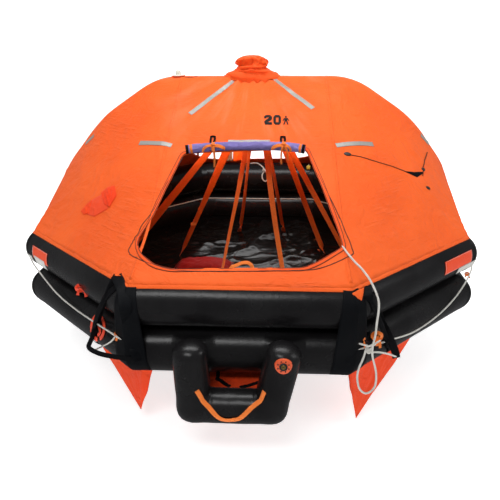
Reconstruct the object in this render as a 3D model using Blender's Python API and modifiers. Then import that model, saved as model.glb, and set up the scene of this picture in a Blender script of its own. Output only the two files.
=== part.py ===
# Life raft: eight-sided, two tubes high, with an orange canopy over one cross arch.
# X is across the raft, -Y is the front entrance, Z is up. Z = 0 is the light waterline.
import math

import bmesh
import bpy
from mathutils import Matrix, Vector

# Main sizes, metres
SIDES = 8
HALF_TURN = math.pi / SIDES
CORNER = math.tan(HALF_TURN)
TUBE_R = 0.178
SEAM = 0.0003
REST = 0.0003
FACE_CENTRE = 1.68
LOWER_Z = 0.118
UPPER_Z = LOWER_Z + 2 * TUBE_R + SEAM
FLOOR_TOP = 0.014
FLOOR_THICK = 0.034
TUBE_STEPS = 32
TUBE_TURN = 360 / TUBE_STEPS

# Canopy and arch
EDGE_ANGLE = math.radians(5 * TUBE_TURN)
SKIN = 0.004
ARCH_R = 0.098
ARCH_TOP = 1.698
ARCH_SHIFT = 0.035
ARCH_SKIN_R = ARCH_R + 0.0065 + SKIN
EDGE_REACH = TUBE_R + 0.0011 + SKIN
EDGE_OUT = FACE_CENTRE + EDGE_REACH * math.cos(EDGE_ANGLE)
EDGE_Z = UPPER_Z + EDGE_REACH * math.sin(EDGE_ANGLE)

# Boarding ramp
RAMP_R = 0.12
RAMP_Y = -1.985
RAMP_TOP_Z = 0.25
RAMP_LOW_Z = -0.155
RAMP_DOME = 0.08
RAMP_TOPS = (-0.312, 0.30)
RAMP_LOWS = (-0.296, 0.215)
HINGE_Z = 0.23

# Colours
BLACK = (0.012, 0.012, 0.013)
ORANGE = (0.9, 0.17, 0.035)
WEB_ORANGE = (0.85, 0.2, 0.03)
POCKET = (0.85, 0.075, 0.03)
LILAC = (0.22, 0.17, 0.5)
ROPE = (0.75, 0.74, 0.7)
MAROON = (0.16, 0.01, 0.012)
STEEL = (0.55, 0.55, 0.54)
WHITE = (0.75, 0.75, 0.73)


# Clean start
for old in list(bpy.data.objects):
    bpy.data.objects.remove(old, do_unlink=True)
RAFT = bpy.data.collections.new("life_raft")
CUTTERS = bpy.data.collections.new("cutters")
bpy.context.scene.collection.children.link(RAFT)
bpy.context.scene.collection.children.link(CUTTERS)


def paint(obj, colour, rough, metal=0.0):
    mat = bpy.data.materials.new(obj.name)
    mat.use_nodes = True
    shader = mat.node_tree.nodes["Principled BSDF"]
    shader.inputs["Base Color"].default_value = (*colour, 1)
    shader.inputs["Roughness"].default_value = rough
    shader.inputs["Metallic"].default_value = metal
    obj.data.materials.clear()
    obj.data.materials.append(mat)
    return obj


def node(name, mesh, colour, rough, metal=0.0):
    obj = bpy.data.objects.new(name, mesh)
    RAFT.objects.link(obj)
    return paint(obj, colour, rough, metal)


def cutter(name, mesh):
    obj = bpy.data.objects.new(name, mesh)
    CUTTERS.objects.link(obj)
    obj.hide_render = True
    obj.display_type = "WIRE"
    return obj


def cut(obj, tool):
    mod = obj.modifiers.new("cut", "BOOLEAN")
    mod.operation = "DIFFERENCE"
    mod.solver = "EXACT"
    mod.object = tool


# Loft of closed rings with flat ends, or closed on itself
def loft(name, rings, closed=False):
    bm = bmesh.new()
    rows = [[bm.verts.new(p) for p in ring] for ring in rings]
    count = len(rows[0])
    pairs = list(zip(rows, rows[1:]))
    if closed:
        pairs.append((rows[-1], rows[0]))
    for low, high in pairs:
        for i in range(count):
            j = (i + 1) % count
            bm.faces.new((low[i], low[j], high[j], high[i]))
    if not closed:
        bm.faces.new(rows[0][::-1])
        bm.faces.new(rows[-1])
    bmesh.ops.recalc_face_normals(bm, faces=bm.faces)
    mesh = bpy.data.meshes.new(name)
    bm.to_mesh(mesh)
    bm.free()
    return mesh


# Place on the eight-sided ring: side number, distance along it, reach out of the tube centre, height
def ring_point(side, along, out, z):
    turn = 2 * HALF_TURN * side - math.pi / 2
    normal = Vector((math.cos(turn), math.sin(turn), 0))
    tangent = Vector((-math.sin(turn), math.cos(turn), 0))
    if along == "corner":
        along = (FACE_CENTRE + out) * CORNER
    point = normal * (FACE_CENTRE + out) + tangent * along
    return Vector((point.x, point.y, z))


# Arc round a tube that turns at the tube's own edges, counted in steps from its outer side
def arc(radius, start, end, centre_z):
    way = 1 if end >= start else -1
    steps = [math.radians(TUBE_TURN * i) for i in range(start, end + way, way)]
    return [(radius * math.cos(a), centre_z + radius * math.sin(a)) for a in steps]


# Reach of the two tubes together at a height, with a lift off their skin
def wrap_out(z, lift):
    reach = TUBE_R + lift
    if LOWER_Z <= z <= UPPER_Z:
        return reach
    drop = z - UPPER_Z if z > UPPER_Z else z - LOWER_Z
    return math.sqrt(reach ** 2 - drop ** 2)


# Band that lies on the tubes: outer and inner outline, carried along the ring's stations
def band(name, outer, inner, stations, colour, rough):
    outline = outer + inner[::-1]
    rings = [[ring_point(side, along, out, z) for out, z in outline] for side, along in stations]
    return node(name, loft(name, rings), colour, rough)


# Smooth line through points, read off at a given number of places
def smooth(points, count, closed=False):
    pts = [Vector(p) for p in points]
    spans = len(pts) if closed else len(pts) - 1
    line = []
    for i in range(count):
        place = i * spans / (count if closed else count - 1)
        span = min(int(place), spans - 1)
        t = place - span
        if closed:
            p0, p1, p2, p3 = (pts[(span + k - 1) % len(pts)] for k in range(4))
        else:
            p1, p2 = pts[span], pts[span + 1]
            p0 = pts[span - 1] if span > 0 else p1 * 2 - p2
            p3 = pts[span + 2] if span + 2 < len(pts) else p2 * 2 - p1
        line.append(0.5 * (2 * p1 + (p2 - p0) * t + (2 * p0 - 5 * p1 + 4 * p2 - p3) * t * t
                           + (3 * p1 - p0 - 3 * p2 + p3) * t ** 3))
    return line


# Corners of a path rounded off
def rounded(points, radius, steps=4):
    pts = [Vector(p) for p in points]
    line = [pts[0]]
    for before, corner, after in zip(pts, pts[1:], pts[2:]):
        a = corner + (before - corner).normalized() * radius
        b = corner + (after - corner).normalized() * radius
        for i in range(steps + 1):
            t = i / steps
            line.append(a * (1 - t) ** 2 + corner * 2 * t * (1 - t) + b * t * t)
    line.append(pts[-1])
    return line


# Round tube along a path, filled at its ends
def tube(name, points, radius, colour, rough, resolution=4, closed=False):
    curve = bpy.data.curves.new(name, "CURVE")
    curve.dimensions = "3D"
    curve.bevel_depth = radius
    curve.bevel_resolution = resolution
    curve.use_fill_caps = not closed
    spline = curve.splines.new("POLY")
    spline.points.add(len(points) - 1)
    for place, point in zip(spline.points, points):
        place.co = (*point, 1)
    spline.use_cyclic_u = closed
    holder = bpy.data.objects.new(name + "_path", curve)
    CUTTERS.objects.link(holder)
    bpy.context.view_layer.update()
    graph = bpy.context.evaluated_depsgraph_get()
    mesh = bpy.data.meshes.new_from_object(holder.evaluated_get(graph))
    bpy.data.objects.remove(holder, do_unlink=True)
    bm = bmesh.new()
    bm.from_mesh(mesh)
    bmesh.ops.remove_doubles(bm, verts=bm.verts, dist=0.00001)
    bmesh.ops.recalc_face_normals(bm, faces=bm.faces)
    bm.to_mesh(mesh)
    bm.free()
    mesh.name = name
    return node(name, mesh, colour, rough)


# Flat webbing along a path; its width direction is given, or the way it faces at each point
def webbing(name, points, across, width, thick, colour, rough=0.7, facing=None):
    pts = [Vector(p) for p in points]
    rings = []
    for i, point in enumerate(pts):
        ahead = (pts[min(i + 1, len(pts) - 1)] - pts[max(i - 1, 0)]).normalized()
        if facing:
            across = facing[i].cross(ahead)
        wide = (across - ahead * across.dot(ahead)).normalized() * width / 2
        deep = ahead.cross(wide).normalized() * thick / 2
        rings.append([point + wide + deep, point + wide - deep, point - wide - deep, point - wide + deep])
    return node(name, loft(name, rings), colour, rough)


# Turned piece: outline from top to bottom at +X, set on an axis
def turned(name, outline, place, axis, colour, rough, metal=0.0, steps=24):
    mesh = bpy.data.meshes.new(name)
    verts = [(r, 0, z) for r, z in outline]
    mesh.from_pydata(verts, [(i, i + 1) for i in range(len(verts) - 1)], [])
    obj = node(name, mesh, colour, rough, metal)
    mod = obj.modifiers.new("turn", "SCREW")
    mod.steps = steps
    mod.render_steps = steps
    mod.use_merge_vertices = True
    mod.merge_threshold = 0.0001
    mod.use_smooth_shade = False
    obj.matrix_world = Matrix.Translation(place) @ Vector(axis).to_track_quat("Z", "Y").to_matrix().to_4x4()
    return obj


# Closed loop of webbing around round things, in the plane of Y and Z
def belt(name, circles, x, width, thick, colour, steps=24):
    def hull(extra):
        points = []
        for i in range(steps):
            a = 2 * math.pi * i / steps
            way = (math.cos(a), math.sin(a))
            best = max(circles, key=lambda c: c[0] * way[0] + c[1] * way[1] + c[2])
            points.append((best[0] + (best[2] + extra) * way[0], best[1] + (best[2] + extra) * way[1]))
        return points
    rings = []
    for (y1, z1), (y2, z2) in zip(hull(0.0), hull(thick)):
        rings.append([(x - width / 2, y1, z1), (x + width / 2, y1, z1), (x + width / 2, y2, z2),
                      (x - width / 2, y2, z2)])
    return node(name, loft(name, rings, closed=True), colour, 0.7)


# The two buoyancy tubes
def buoyancy_tube(name, z):
    wide = TUBE_R / math.cos(HALF_TURN)
    centre = FACE_CENTRE / math.cos(HALF_TURN)
    steps = [2 * math.pi * i / TUBE_STEPS for i in range(TUBE_STEPS)]
    verts = [(centre + wide * math.cos(a), 0, z - TUBE_R * math.sin(a)) for a in steps]
    mesh = bpy.data.meshes.new(name)
    mesh.from_pydata(verts, [(i, (i + 1) % TUBE_STEPS) for i in range(TUBE_STEPS)], [])
    obj = node(name, mesh, BLACK, 0.42)
    obj.rotation_euler.z = HALF_TURN
    mod = obj.modifiers.new("ring", "SCREW")
    mod.steps = SIDES
    mod.render_steps = SIDES
    mod.use_merge_vertices = True
    mod.merge_threshold = 0.0001
    mod.use_smooth_shade = False
    return obj


buoyancy_tube("lower_tube", LOWER_Z)
buoyancy_tube("upper_tube", UPPER_Z)


# Floor, tucked between the lower tube's inner sides
def floor_edge(z):
    for (out_a, z_a), (out_b, z_b) in zip(TUBE_SIDE, TUBE_SIDE[1:]):
        if z_b <= z <= z_a:
            return FACE_CENTRE - out_b + (out_b - out_a) * (z - z_b) / (z_a - z_b) - REST * 1.3


TUBE_SIDE = arc(TUBE_R, 0, -8, LOWER_Z)


def floor():
    levels = (FLOOR_TOP, TUBE_SIDE[4][1], FLOOR_TOP - FLOOR_THICK)
    rings = []
    for z in levels:
        reach = floor_edge(z) / math.cos(HALF_TURN)
        turns = [HALF_TURN * (2 * i + 1) for i in range(SIDES)]
        rings.append([(reach * math.cos(a), reach * math.sin(a), z) for a in turns])
    return node("floor", loft("floor", rings), BLACK, 0.3)


floor()

# Arch over the raft, side to side, its feet saddled on the upper tube
ARCH_FOOT_X = 1.655
ARCH_HALF = [(ARCH_FOOT_X, 0.62, 0.0), (1.645, 0.93, 0.5), (1.288, 1.376, 1.0), (0.80, ARCH_TOP, 1.0)]


def arch_line():
    left = [(-x + ARCH_SHIFT * lean, 0, z) for x, z, lean in ARCH_HALF]
    right = [(x + ARCH_SHIFT * lean, 0, z) for x, z, lean in ARCH_HALF[::-1]]
    return rounded(left + right, 0.16)


arch = tube("arch_tube", arch_line(), ARCH_R, BLACK, 0.45, resolution=6)
for side in (-1, 1):
    saddle_mesh = bpy.data.meshes.new("saddle")
    saddle_bm = bmesh.new()
    bmesh.ops.create_cone(saddle_bm, cap_ends=True, segments=TUBE_STEPS, radius1=TUBE_R + REST,
                          radius2=TUBE_R + REST, depth=0.6)
    bmesh.ops.rotate(saddle_bm, verts=saddle_bm.verts, matrix=Matrix.Rotation(math.pi / 2, 3, "X"))
    bmesh.ops.translate(saddle_bm, verts=saddle_bm.verts, vec=(side * FACE_CENTRE, 0, UPPER_Z))
    saddle_bm.to_mesh(saddle_mesh)
    saddle_bm.free()
    cut(arch, cutter("saddle", saddle_mesh))


# Place and outward direction on the arch line, by share of its length
def along_line(points, share):
    lengths = [(b - a).length for a, b in zip(points, points[1:])]
    want = max(0.0, min(1.0, share)) * sum(lengths)
    for a, b, length in zip(points, points[1:], lengths):
        if want <= length + 1e-9:
            break
        want -= length
    way = (b - a).normalized()
    return a + way * want, Vector((-way.z, 0, way.x))


# Canopy: stretched from the upper tube's edge to the arch, wrapped round it
CANOPY_LOW = 5
CANOPY_TOP = 4
KINK = 0.22
EDGE_HALF = EDGE_OUT * CORNER
# Edge place across and along, share of the arch, sag of the cloth there, strips to the next place
CANOPY_CORNERS = [(-EDGE_OUT, 0.0, 0.012, 0.0, 4), (-EDGE_OUT, -EDGE_HALF, 0.085, 0.012, 14),
                  (-EDGE_HALF, -EDGE_OUT, 0.362, 0.05, 3), (0.0, -EDGE_OUT, 0.5, 0.0, 3),
                  (EDGE_HALF, -EDGE_OUT, 0.638, 0.025, 14), (EDGE_OUT, -EDGE_HALF, 0.915, 0.012, 4),
                  (EDGE_OUT, 0.0, 0.988, 0.0, 1)]


# Where a straight pull from a point meets the skin round the arch
def arch_touch(point, centre, way):
    outward = (point - centre).dot(way)
    forward = centre.y - point.y
    reach = math.hypot(outward, forward)
    turn = max(0.0, math.atan2(forward, outward) - math.acos(min(1.0, ARCH_SKIN_R / reach)))
    return turn, round_arch(centre, way, turn)


def round_arch(centre, way, turn):
    return centre + (way * math.cos(turn) + Vector((0, -1, 0)) * math.sin(turn)) * ARCH_SKIN_R


def canopy_strip(base, share, sag):
    centre, way = along_line(ARCH_LINE, share)
    first = arch_touch(base, centre, way)[1]
    inward = (Vector((0, 0, 0.9)) - (base + first) / 2).normalized()
    kink = base.lerp(first, KINK) + inward * sag
    turn, touch = arch_touch(kink, centre, way)
    strip = [base, base.lerp(kink, 0.5) + inward * sag * 0.12, kink, kink.lerp(touch, 0.33), kink.lerp(touch, 0.67)]
    for i in range(CANOPY_TOP + 1):
        strip.append(round_arch(centre, way, turn * (1 - i / CANOPY_TOP)))
    return strip


ARCH_LINE = arch_line()


def canopy_strips():
    strips = []
    for here, ahead in zip(CANOPY_CORNERS, CANOPY_CORNERS[1:]):
        for i in range(here[4]):
            x, y, share, sag, _ = [a + (b - a) * i / here[4] for a, b in zip(here, ahead)]
            strips.append(canopy_strip(Vector((x, y, EDGE_Z)), share, sag))
    x, y, share, sag, _ = CANOPY_CORNERS[-1]
    strips.append(canopy_strip(Vector((x, y, EDGE_Z)), share, sag))
    return strips


def canopy():
    bm = bmesh.new()
    for mirror in (1, -1):
        grid = [[bm.verts.new((p.x, p.y * mirror, p.z)) for p in strip] for strip in canopy_strips()]
        for left, right in zip(grid, grid[1:]):
            for i in range(len(left) - 1):
                bm.faces.new((left[i], right[i], right[i + 1], left[i + 1]))
    bmesh.ops.remove_doubles(bm, verts=bm.verts, dist=0.0001)
    bmesh.ops.dissolve_degenerate(bm, edges=bm.edges, dist=0.0001)
    bmesh.ops.recalc_face_normals(bm, faces=bm.faces)
    if sum(f.normal.z for f in bm.faces) < 0:
        bmesh.ops.reverse_faces(bm, faces=bm.faces)
    mesh = bpy.data.meshes.new("canopy")
    bm.to_mesh(mesh)
    bm.free()
    obj = node("canopy", mesh, ORANGE, 0.62)
    shell = obj.modifiers.new("cloth", "SOLIDIFY")
    shell.thickness = SKIN
    shell.offset = -1
    shell.use_even_offset = True
    return obj


canopy_obj = canopy()

# Flat front panel of the canopy: place across and up its slope
MIDDLE_STRIP = canopy_strip(Vector((0, -EDGE_OUT, EDGE_Z)), 0.5, 0.0)
SLOPE = (MIDDLE_STRIP[CANOPY_LOW] - MIDDLE_STRIP[0]).normalized()


def on_panel(x, up, lift=0.0, rear=False):
    point = MIDDLE_STRIP[0] + SLOPE * up + Vector((0, -SLOPE.z, SLOPE.y)) * lift
    return Vector((x, -point.y if rear else point.y, point.z))


# Entrance outline on the panel, across and up the slope; the rear one is the same
DOOR = [(-0.455, 0.141), (-0.59, 0.176), (-0.705, 0.286), (-0.745, 0.373), (-0.744, 0.443), (-0.655, 0.587),
        (-0.605, 0.78), (-0.488, 1.206), (0.454, 1.256), (0.56, 0.901), (0.671, 0.478), (0.697, 0.343),
        (0.53, 0.222), (0.423, 0.163)]
for rear in (False, True):
    rings = [[on_panel(x, up, lift, rear) for x, up in DOOR] for lift in (-0.09, 0.06)]
    cut(canopy_obj, cutter("door", loft("door", rings)))


# Tied sleeve on the ridge
def roof_height(y):
    angle = math.asin(min(1.0, abs(y) / ARCH_SKIN_R))
    top_turn = math.atan2(-SLOPE.z * -1, SLOPE.y)
    if abs(y) < ARCH_SKIN_R and angle < top_turn:
        return ARCH_TOP + ARCH_SKIN_R * math.cos(angle)
    knee = MIDDLE_STRIP[CANOPY_LOW]
    return knee.z - (abs(y) + knee.y) * SLOPE.z / SLOPE.y


SLEEVE_X = 0.008
# Half width across, half depth, height; the first ring follows the roof
SLEEVE = [(0.235, 0.20, None), (0.165, 0.145, 1.848), (0.125, 0.11, 1.878), (0.13, 0.11, 1.915),
          (0.115, 0.095, 1.95), (0.07, 0.06, 1.978), (0.03, 0.03, 1.985)]


def sleeve():
    rings = []
    for wide, deep, height in SLEEVE:
        ring = []
        for i in range(24):
            a = 2 * math.pi * i / 24
            x, y = wide * math.cos(a), deep * math.sin(a)
            z = roof_height(y) + 0.0058 if height is None else height
            ring.append(Vector((SLEEVE_X + x, y, z)))
        rings.append(ring)
    inner = [[Vector((SLEEVE_X + (p.x - SLEEVE_X) * 0.96, p.y * 0.96, p.z - 0.004 * (i > 0))) for p in ring]
             for i, ring in enumerate(rings)]
    bm = bmesh.new()
    rows = [[bm.verts.new(p) for p in ring] for ring in inner[::-1] + rings]
    for low, high in zip(rows, rows[1:]):
        for i in range(24):
            j = (i + 1) % 24
            bm.faces.new((low[i], low[j], high[j], high[i]))
    bm.faces.new(rows[0])
    bm.faces.new(rows[-1])
    bmesh.ops.recalc_face_normals(bm, faces=bm.faces)
    mesh = bpy.data.meshes.new("ridge_sleeve")
    bm.to_mesh(mesh)
    bm.free()
    return node("ridge_sleeve", mesh, ORANGE, 0.62)


sleeve()

# Rolled doors over the entrances
ROLL_R = 0.036
ROLL = [(-0.467, 1.206), (-0.383, 1.221), (-0.245, 1.238), (-0.013, 1.248), (0.256, 1.247), (0.371, 1.232),
        (0.447, 1.217)]
for name, rear in (("front_door_roll", False), ("rear_door_roll", True)):
    line = smooth([on_panel(x, up, ROLL_R - 0.001, rear) for x, up in ROLL], 13)
    tube(name, line, ROLL_R, LILAC, 0.75, resolution=3)

# Small light on the ridge
LIGHT_SHARE = 0.355
light_centre, light_way = along_line(ARCH_LINE, LIGHT_SHARE)
turned("canopy_light", [(0.0001, 0.05), (0.016, 0.048), (0.02, 0.03), (0.022, 0.012), (0.05, 0.008), (0.05, 0.0),
                        (0.0001, 0.0)], light_centre + light_way * (ARCH_SKIN_R - 0.0005), light_way, WHITE, 0.3)

# Lifting ring, its two slings over the arch, and eight straps down to the floor
LIFT_X = 0.05
LIFT_R = 0.11
LIFT_Z = 1.56
ROD_R = 0.008
ring_steps = [2 * math.pi * i / 32 for i in range(32)]
tube("lift_ring", [(LIFT_X + LIFT_R * math.cos(a), LIFT_R * math.sin(a), LIFT_Z) for a in ring_steps],
     ROD_R, STEEL, 0.3, resolution=2, closed=True)
for name, offset in (("arch_sling_left", -0.075), ("arch_sling_right", 0.075)):
    y = math.sqrt(LIFT_R ** 2 - offset ** 2) + 0.0165
    circles = [(0, ARCH_TOP, ARCH_R + 0.0008), (-y, LIFT_Z, ROD_R + 0.0004), (y, LIFT_Z, ROD_R + 0.0004)]
    belt(name, circles, LIFT_X + offset, 0.028, 0.003, WEB_ORANGE, steps=40)

STRAP_WIDE = 0.045
STRAP_THICK = 0.003
# Name, place round the ring in degrees, foot on the floor across and along, top's gap off the rod
STRAPS = [("a", 193, -1.37, -0.50, 0.0012), ("b", 167, -0.75, 0.22, 0.0006), ("c", 252, -0.26, -1.02, -0.0008),
          ("d", 98, -0.19, 1.0, 0.0014), ("e", 286, 0.35, -1.05, -0.0008), ("f", 74, 0.32, 1.02, -0.0007),
          ("g", 13, 0.73, 0.34, 0.0042), ("h", 347, 1.01, -0.43, 0.003)]
for letter, place, foot_x, foot_y, seat in STRAPS:
    a = math.radians(place)
    out = Vector((math.cos(a), math.sin(a), 0))
    top = Vector((LIFT_X, 0, LIFT_Z - 0.004)) + out * (LIFT_R + ROD_R + seat)
    lie = FLOOR_TOP + STRAP_THICK / 2 + REST
    foot = Vector((foot_x, foot_y, lie))
    along = Vector((foot_x - top.x, foot_y - top.y, 0)).normalized()
    across = Vector((-along.y, along.x, 0))
    webbing("lift_strap_" + letter, [top, foot + (top - foot).normalized() * 0.03, foot + along * 0.012,
                                     foot + along * 0.11], across, STRAP_WIDE, STRAP_THICK, WEB_ORANGE)


# Boarding ramp: a hanging loop of tube that swings on a cross hinge near its upper ends
RAMP_SIDES = 24
RAMP_INNER = 0.012


# Top of a leg's middle line, its way down and its way to the outer side; leg 0 is the left one
def leg_axis(side):
    top = Vector((RAMP_TOPS[side], RAMP_Y, RAMP_TOP_Z))
    low = Vector((RAMP_LOWS[side], RAMP_Y, RAMP_LOW_Z))
    down = (low - top).normalized()
    outer = Vector((-1 if side == 0 else 1, 0, 0))
    return top, down, (outer - down * outer.dot(down)).normalized()


# Rounded end of a leg, from its tip down to its full width
def leg_end(side):
    top, down, outer = leg_axis(side)
    rings = []
    for angle in (80, 60, 35, 0):
        a = math.radians(angle)
        rings.append(ramp_ring(top - down * RAMP_DOME * math.sin(a), outer, RAMP_R * math.cos(a)))
    return rings


def ramp_ring(centre, cross, radius):
    turns = [2 * math.pi * i / RAMP_SIDES for i in range(RAMP_SIDES)]
    return [centre + cross * radius * math.cos(t) + Vector((0, radius * math.sin(t), 0)) for t in turns]


# Elbow between leg and cross tube, fanned about its inner corner and fuller on its outer side
def elbow(side):
    top, down, start = leg_axis(side)
    end = Vector((0, 0, -1))
    turn = start.angle(end)
    bend = RAMP_R + RAMP_INNER
    # The inner corner lies at the bend's distance from both centre lines
    drop = (RAMP_TOP_Z - RAMP_LOW_Z - bend - start.z * bend) / -down.z
    pivot = top + down * drop - start * bend
    rings = []
    for step in range(5):
        a = turn * step / 4
        way = (start * math.sin(turn - a) + end * math.sin(a)) / math.sin(turn)
        full = (1 / math.cos(turn / 2) - 1) * 0.68 * math.sin(math.pi * step / 4) ** 3
        ring = []
        for i in range(RAMP_SIDES):
            t = 2 * math.pi * i / RAMP_SIDES
            inward = RAMP_R * (1 + math.cos(t))
            reach = (RAMP_INNER + inward) * (1 + full * inward / (2 * RAMP_R))
            ring.append(pivot + way * reach + Vector((0, RAMP_R * math.sin(t), 0)))
        rings.append(ring)
    return rings


def ramp():
    rings = leg_end(0) + elbow(0) + elbow(1)[::-1] + leg_end(1)[::-1]
    return node("boarding_ramp", loft("boarding_ramp", rings), BLACK, 0.42)


ramp()
# Sheet between the cross tube and the underside: back and height of its middle line
SHEET = [(RAMP_Y + (RAMP_R + REST + 0.003) * 0.5, RAMP_LOW_Z + (RAMP_R + REST + 0.003) * 0.866), (-1.65, -0.092)]
# Its side edges: place across at the tube and at the back
SHEET_EDGES = ((-0.155, -0.21), (0.075, 0.15))
sheet_rings = [[(x, y, z + dz) for x, (y, z), dz in ((near, SHEET[0], -0.003), (far, SHEET[1], -0.003),
                                                   (far, SHEET[1], 0.003), (near, SHEET[0], 0.003))]
               for near, far in SHEET_EDGES]
node("ramp_panel", loft("ramp_panel", sheet_rings), POCKET, 0.6)
# Handle across the front of the ramp: across, how far in front of the ramp's middle, height
HANDLE = [(-0.257, 0.1186, 0.032), (-0.215, 0.1245, -0.035), (-0.174, 0.1245, -0.102), (-0.125, 0.1245, -0.16),
          (-0.076, 0.1245, -0.184), (-0.02, 0.1235, -0.178), (0.019, 0.1235, -0.164), (0.07, 0.1245, -0.113),
          (0.12, 0.122, -0.045), (0.169, 0.107, 0.029)]
webbing("ramp_handle", [(x, RAMP_Y - y, z) for x, y, z in HANDLE], Vector((0.2, 0, 1)), 0.034, 0.003, WEB_ORANGE)

# Valve flange on the right leg, saddled on its round skin
VALVE_Z = 0.235
valve_top, valve_down, valve_outer = leg_axis(1)
valve_x = (valve_top + valve_down * (VALVE_Z - RAMP_TOP_Z) / valve_down.z).x
valve = turned("ramp_valve", [(0.0001, 0.045), (0.055, 0.045), (0.056, 0.042), (0.056, 0.0), (0.0001, 0.0)],
               (valve_x, RAMP_Y - RAMP_R + 0.036, VALVE_Z), (0, -1, 0), WEB_ORANGE, 0.5)
leg_rings = [ramp_ring(valve_top + valve_down * step, valve_outer, RAMP_R + REST) for step in (-0.15, 0.2)]
cut(valve, cutter("leg", loft("leg", leg_rings)))

# Collars that join the leg ends to the lower tube: half width, and the swing kept clear of the hinge
COLLAR_HALF = 0.105
COLLAR_CLEAR = 0.1272
COLLAR_FACE = [(RAMP_Y + COLLAR_CLEAR * math.cos(math.radians(a)), HINGE_Z + COLLAR_CLEAR * math.sin(math.radians(a)))
               for a in (35, 23, 12, 0)] + [(RAMP_Y + COLLAR_CLEAR, 0.175)]


def collar(name, middle):
    rings = []
    for step in range(7):
        across = -1 + step / 3
        grow = math.sqrt(max(0.0, 1 - across ** 2))
        ring = [(-FACE_CENTRE - out, z) for out, z in arc(TUBE_R + REST, 1, 5, LOWER_Z)]
        thin = [(-FACE_CENTRE - out, z) for out, z in arc(TUBE_R + REST + 0.003, 5, 1, LOWER_Z)]
        for (y, z), (full_y, full_z) in zip(thin, COLLAR_FACE):
            ring.append((y + (full_y - y) * grow, z + (full_z - z) * grow))
        rings.append([(middle + across * COLLAR_HALF, y, z) for y, z in ring])
    return node(name, loft(name, rings), BLACK, 0.42)


for name, side in (("ramp_collar_left", 0), ("ramp_collar_right", 1)):
    collar(name, RAMP_TOPS[side])

# Water pockets: bags that hang under the tubes beside the entrances
POCKET_TOP = LOWER_Z - TUBE_R - REST
# Name, mirrored to the rear, rim places (side, along, out), tip (side, along, height)
POCKETS = [("front_left", False, [(7, 0.02, 0.03), (7, "corner", 0.03), (0, -0.63, 0.03), (0, -0.72, -0.34)],
            (7, 0.593, -0.486)),
           ("front_right", False, [(1, -0.62, 0.03), (1, 0.22, 0.03), (1, -0.25, -0.36)], (1, -0.454, -0.588)),
           ("rear_left", True, [(7, -0.22, 0.03), (7, 0.62, 0.03), (7, 0.25, -0.36)], (7, 0.454, -0.54)),
           ("rear_right", True, [(1, -0.62, 0.03), (1, 0.22, 0.03), (1, -0.25, -0.36)], (1, -0.454, -0.54))]
for name, rear, rim, (tip_side, tip_along, tip_z) in POCKETS:
    bm = bmesh.new()
    places = [ring_point(side, along, out, POCKET_TOP) for side, along, out in rim]
    places.append(ring_point(tip_side, tip_along, 0.0, tip_z))
    rim_verts = [bm.verts.new((p.x, -p.y if rear else p.y, p.z)) for p in places]
    tip = rim_verts.pop()
    bm.faces.new(rim_verts)
    for one, two in zip(rim_verts, rim_verts[1:] + rim_verts[:1]):
        bm.faces.new((one, two, tip))
    bmesh.ops.recalc_face_normals(bm, faces=bm.faces)
    mesh = bpy.data.meshes.new("pocket")
    bm.to_mesh(mesh)
    bm.free()
    pocket = node("water_pocket_" + name, mesh, POCKET, 0.6)
    soft = pocket.modifiers.new("soft", "BEVEL")
    soft.width = 0.008
    soft.segments = 2

# Black bands over both tubes at the corners beside the entrances
BAND_THICK = 0.004
BAND_OUT = REST + BAND_THICK
BAND_TOP = math.radians(53.5)


def band_line(radius):
    top = (radius * math.cos(BAND_TOP), UPPER_Z + radius * math.sin(BAND_TOP))
    return [top] + arc(radius, 4, 0, UPPER_Z) + arc(radius, 0, -4, LOWER_Z)


outer_line = band_line(TUBE_R + BAND_OUT)
inner_line = band_line(TUBE_R + REST)
edge_reach = FACE_CENTRE * CORNER
for name, stations in (("front_right", [(0, edge_reach - 0.055), (0, "corner"), (1, -edge_reach + 0.01)]),
                       ("front_left", [(7, edge_reach - 0.01), (7, "corner"), (0, -edge_reach + 0.055)]),
                       ("rear_right", [(3, edge_reach - 0.01), (3, "corner"), (4, -edge_reach + 0.055)]),
                       ("rear_left", [(4, edge_reach - 0.055), (4, "corner"), (5, -edge_reach + 0.01)])):
    band("corner_band_" + name, outer_line, inner_line, stations, BLACK, 0.6)

# Straps from those corners down to the water pockets; side, and places along it with their heights
CORNER_STRAPS = [("front_left", 7, [(0.655, 0.61), (0.485, 0.418), (0.389, 0.222), (0.215, -0.06)]),
                 ("front_right", 1, [(-0.655, 0.61), (-0.55, 0.382), (-0.42, 0.15), (-0.26, -0.06)]),
                 ("rear_left", 5, [(-0.655, 0.61), (-0.55, 0.382), (-0.42, 0.15), (-0.26, -0.06)]),
                 ("rear_right", 3, [(0.655, 0.61), (0.55, 0.382), (0.42, 0.15), (0.26, -0.06)])]
# Steps round the upper and the lower tube, and how far the strap stands off there
STRAP_STEPS = [(UPPER_Z, 4, 0.0), (UPPER_Z, 3, 0.0), (UPPER_Z, 2, 0.0), (UPPER_Z, 1, 0.0), (UPPER_Z, 0, 0.002),
               (UPPER_Z - 0.16, 0, 0.016), (LOWER_Z + 0.03, 0, 0.017), (LOWER_Z, -1, 0.012), (LOWER_Z, -2, 0.006),
               (LOWER_Z, -3, 0.001), (LOWER_Z, -4, 0.0), (LOWER_Z, -5, 0.0), (LOWER_Z, -6, 0.0)]


def along_at(z, places):
    for (along_a, z_a), (along_b, z_b) in zip(places, places[1:]):
        if z >= z_b:
            break
    return along_a + (along_b - along_a) * (z - z_a) / (z_b - z_a)


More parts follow.
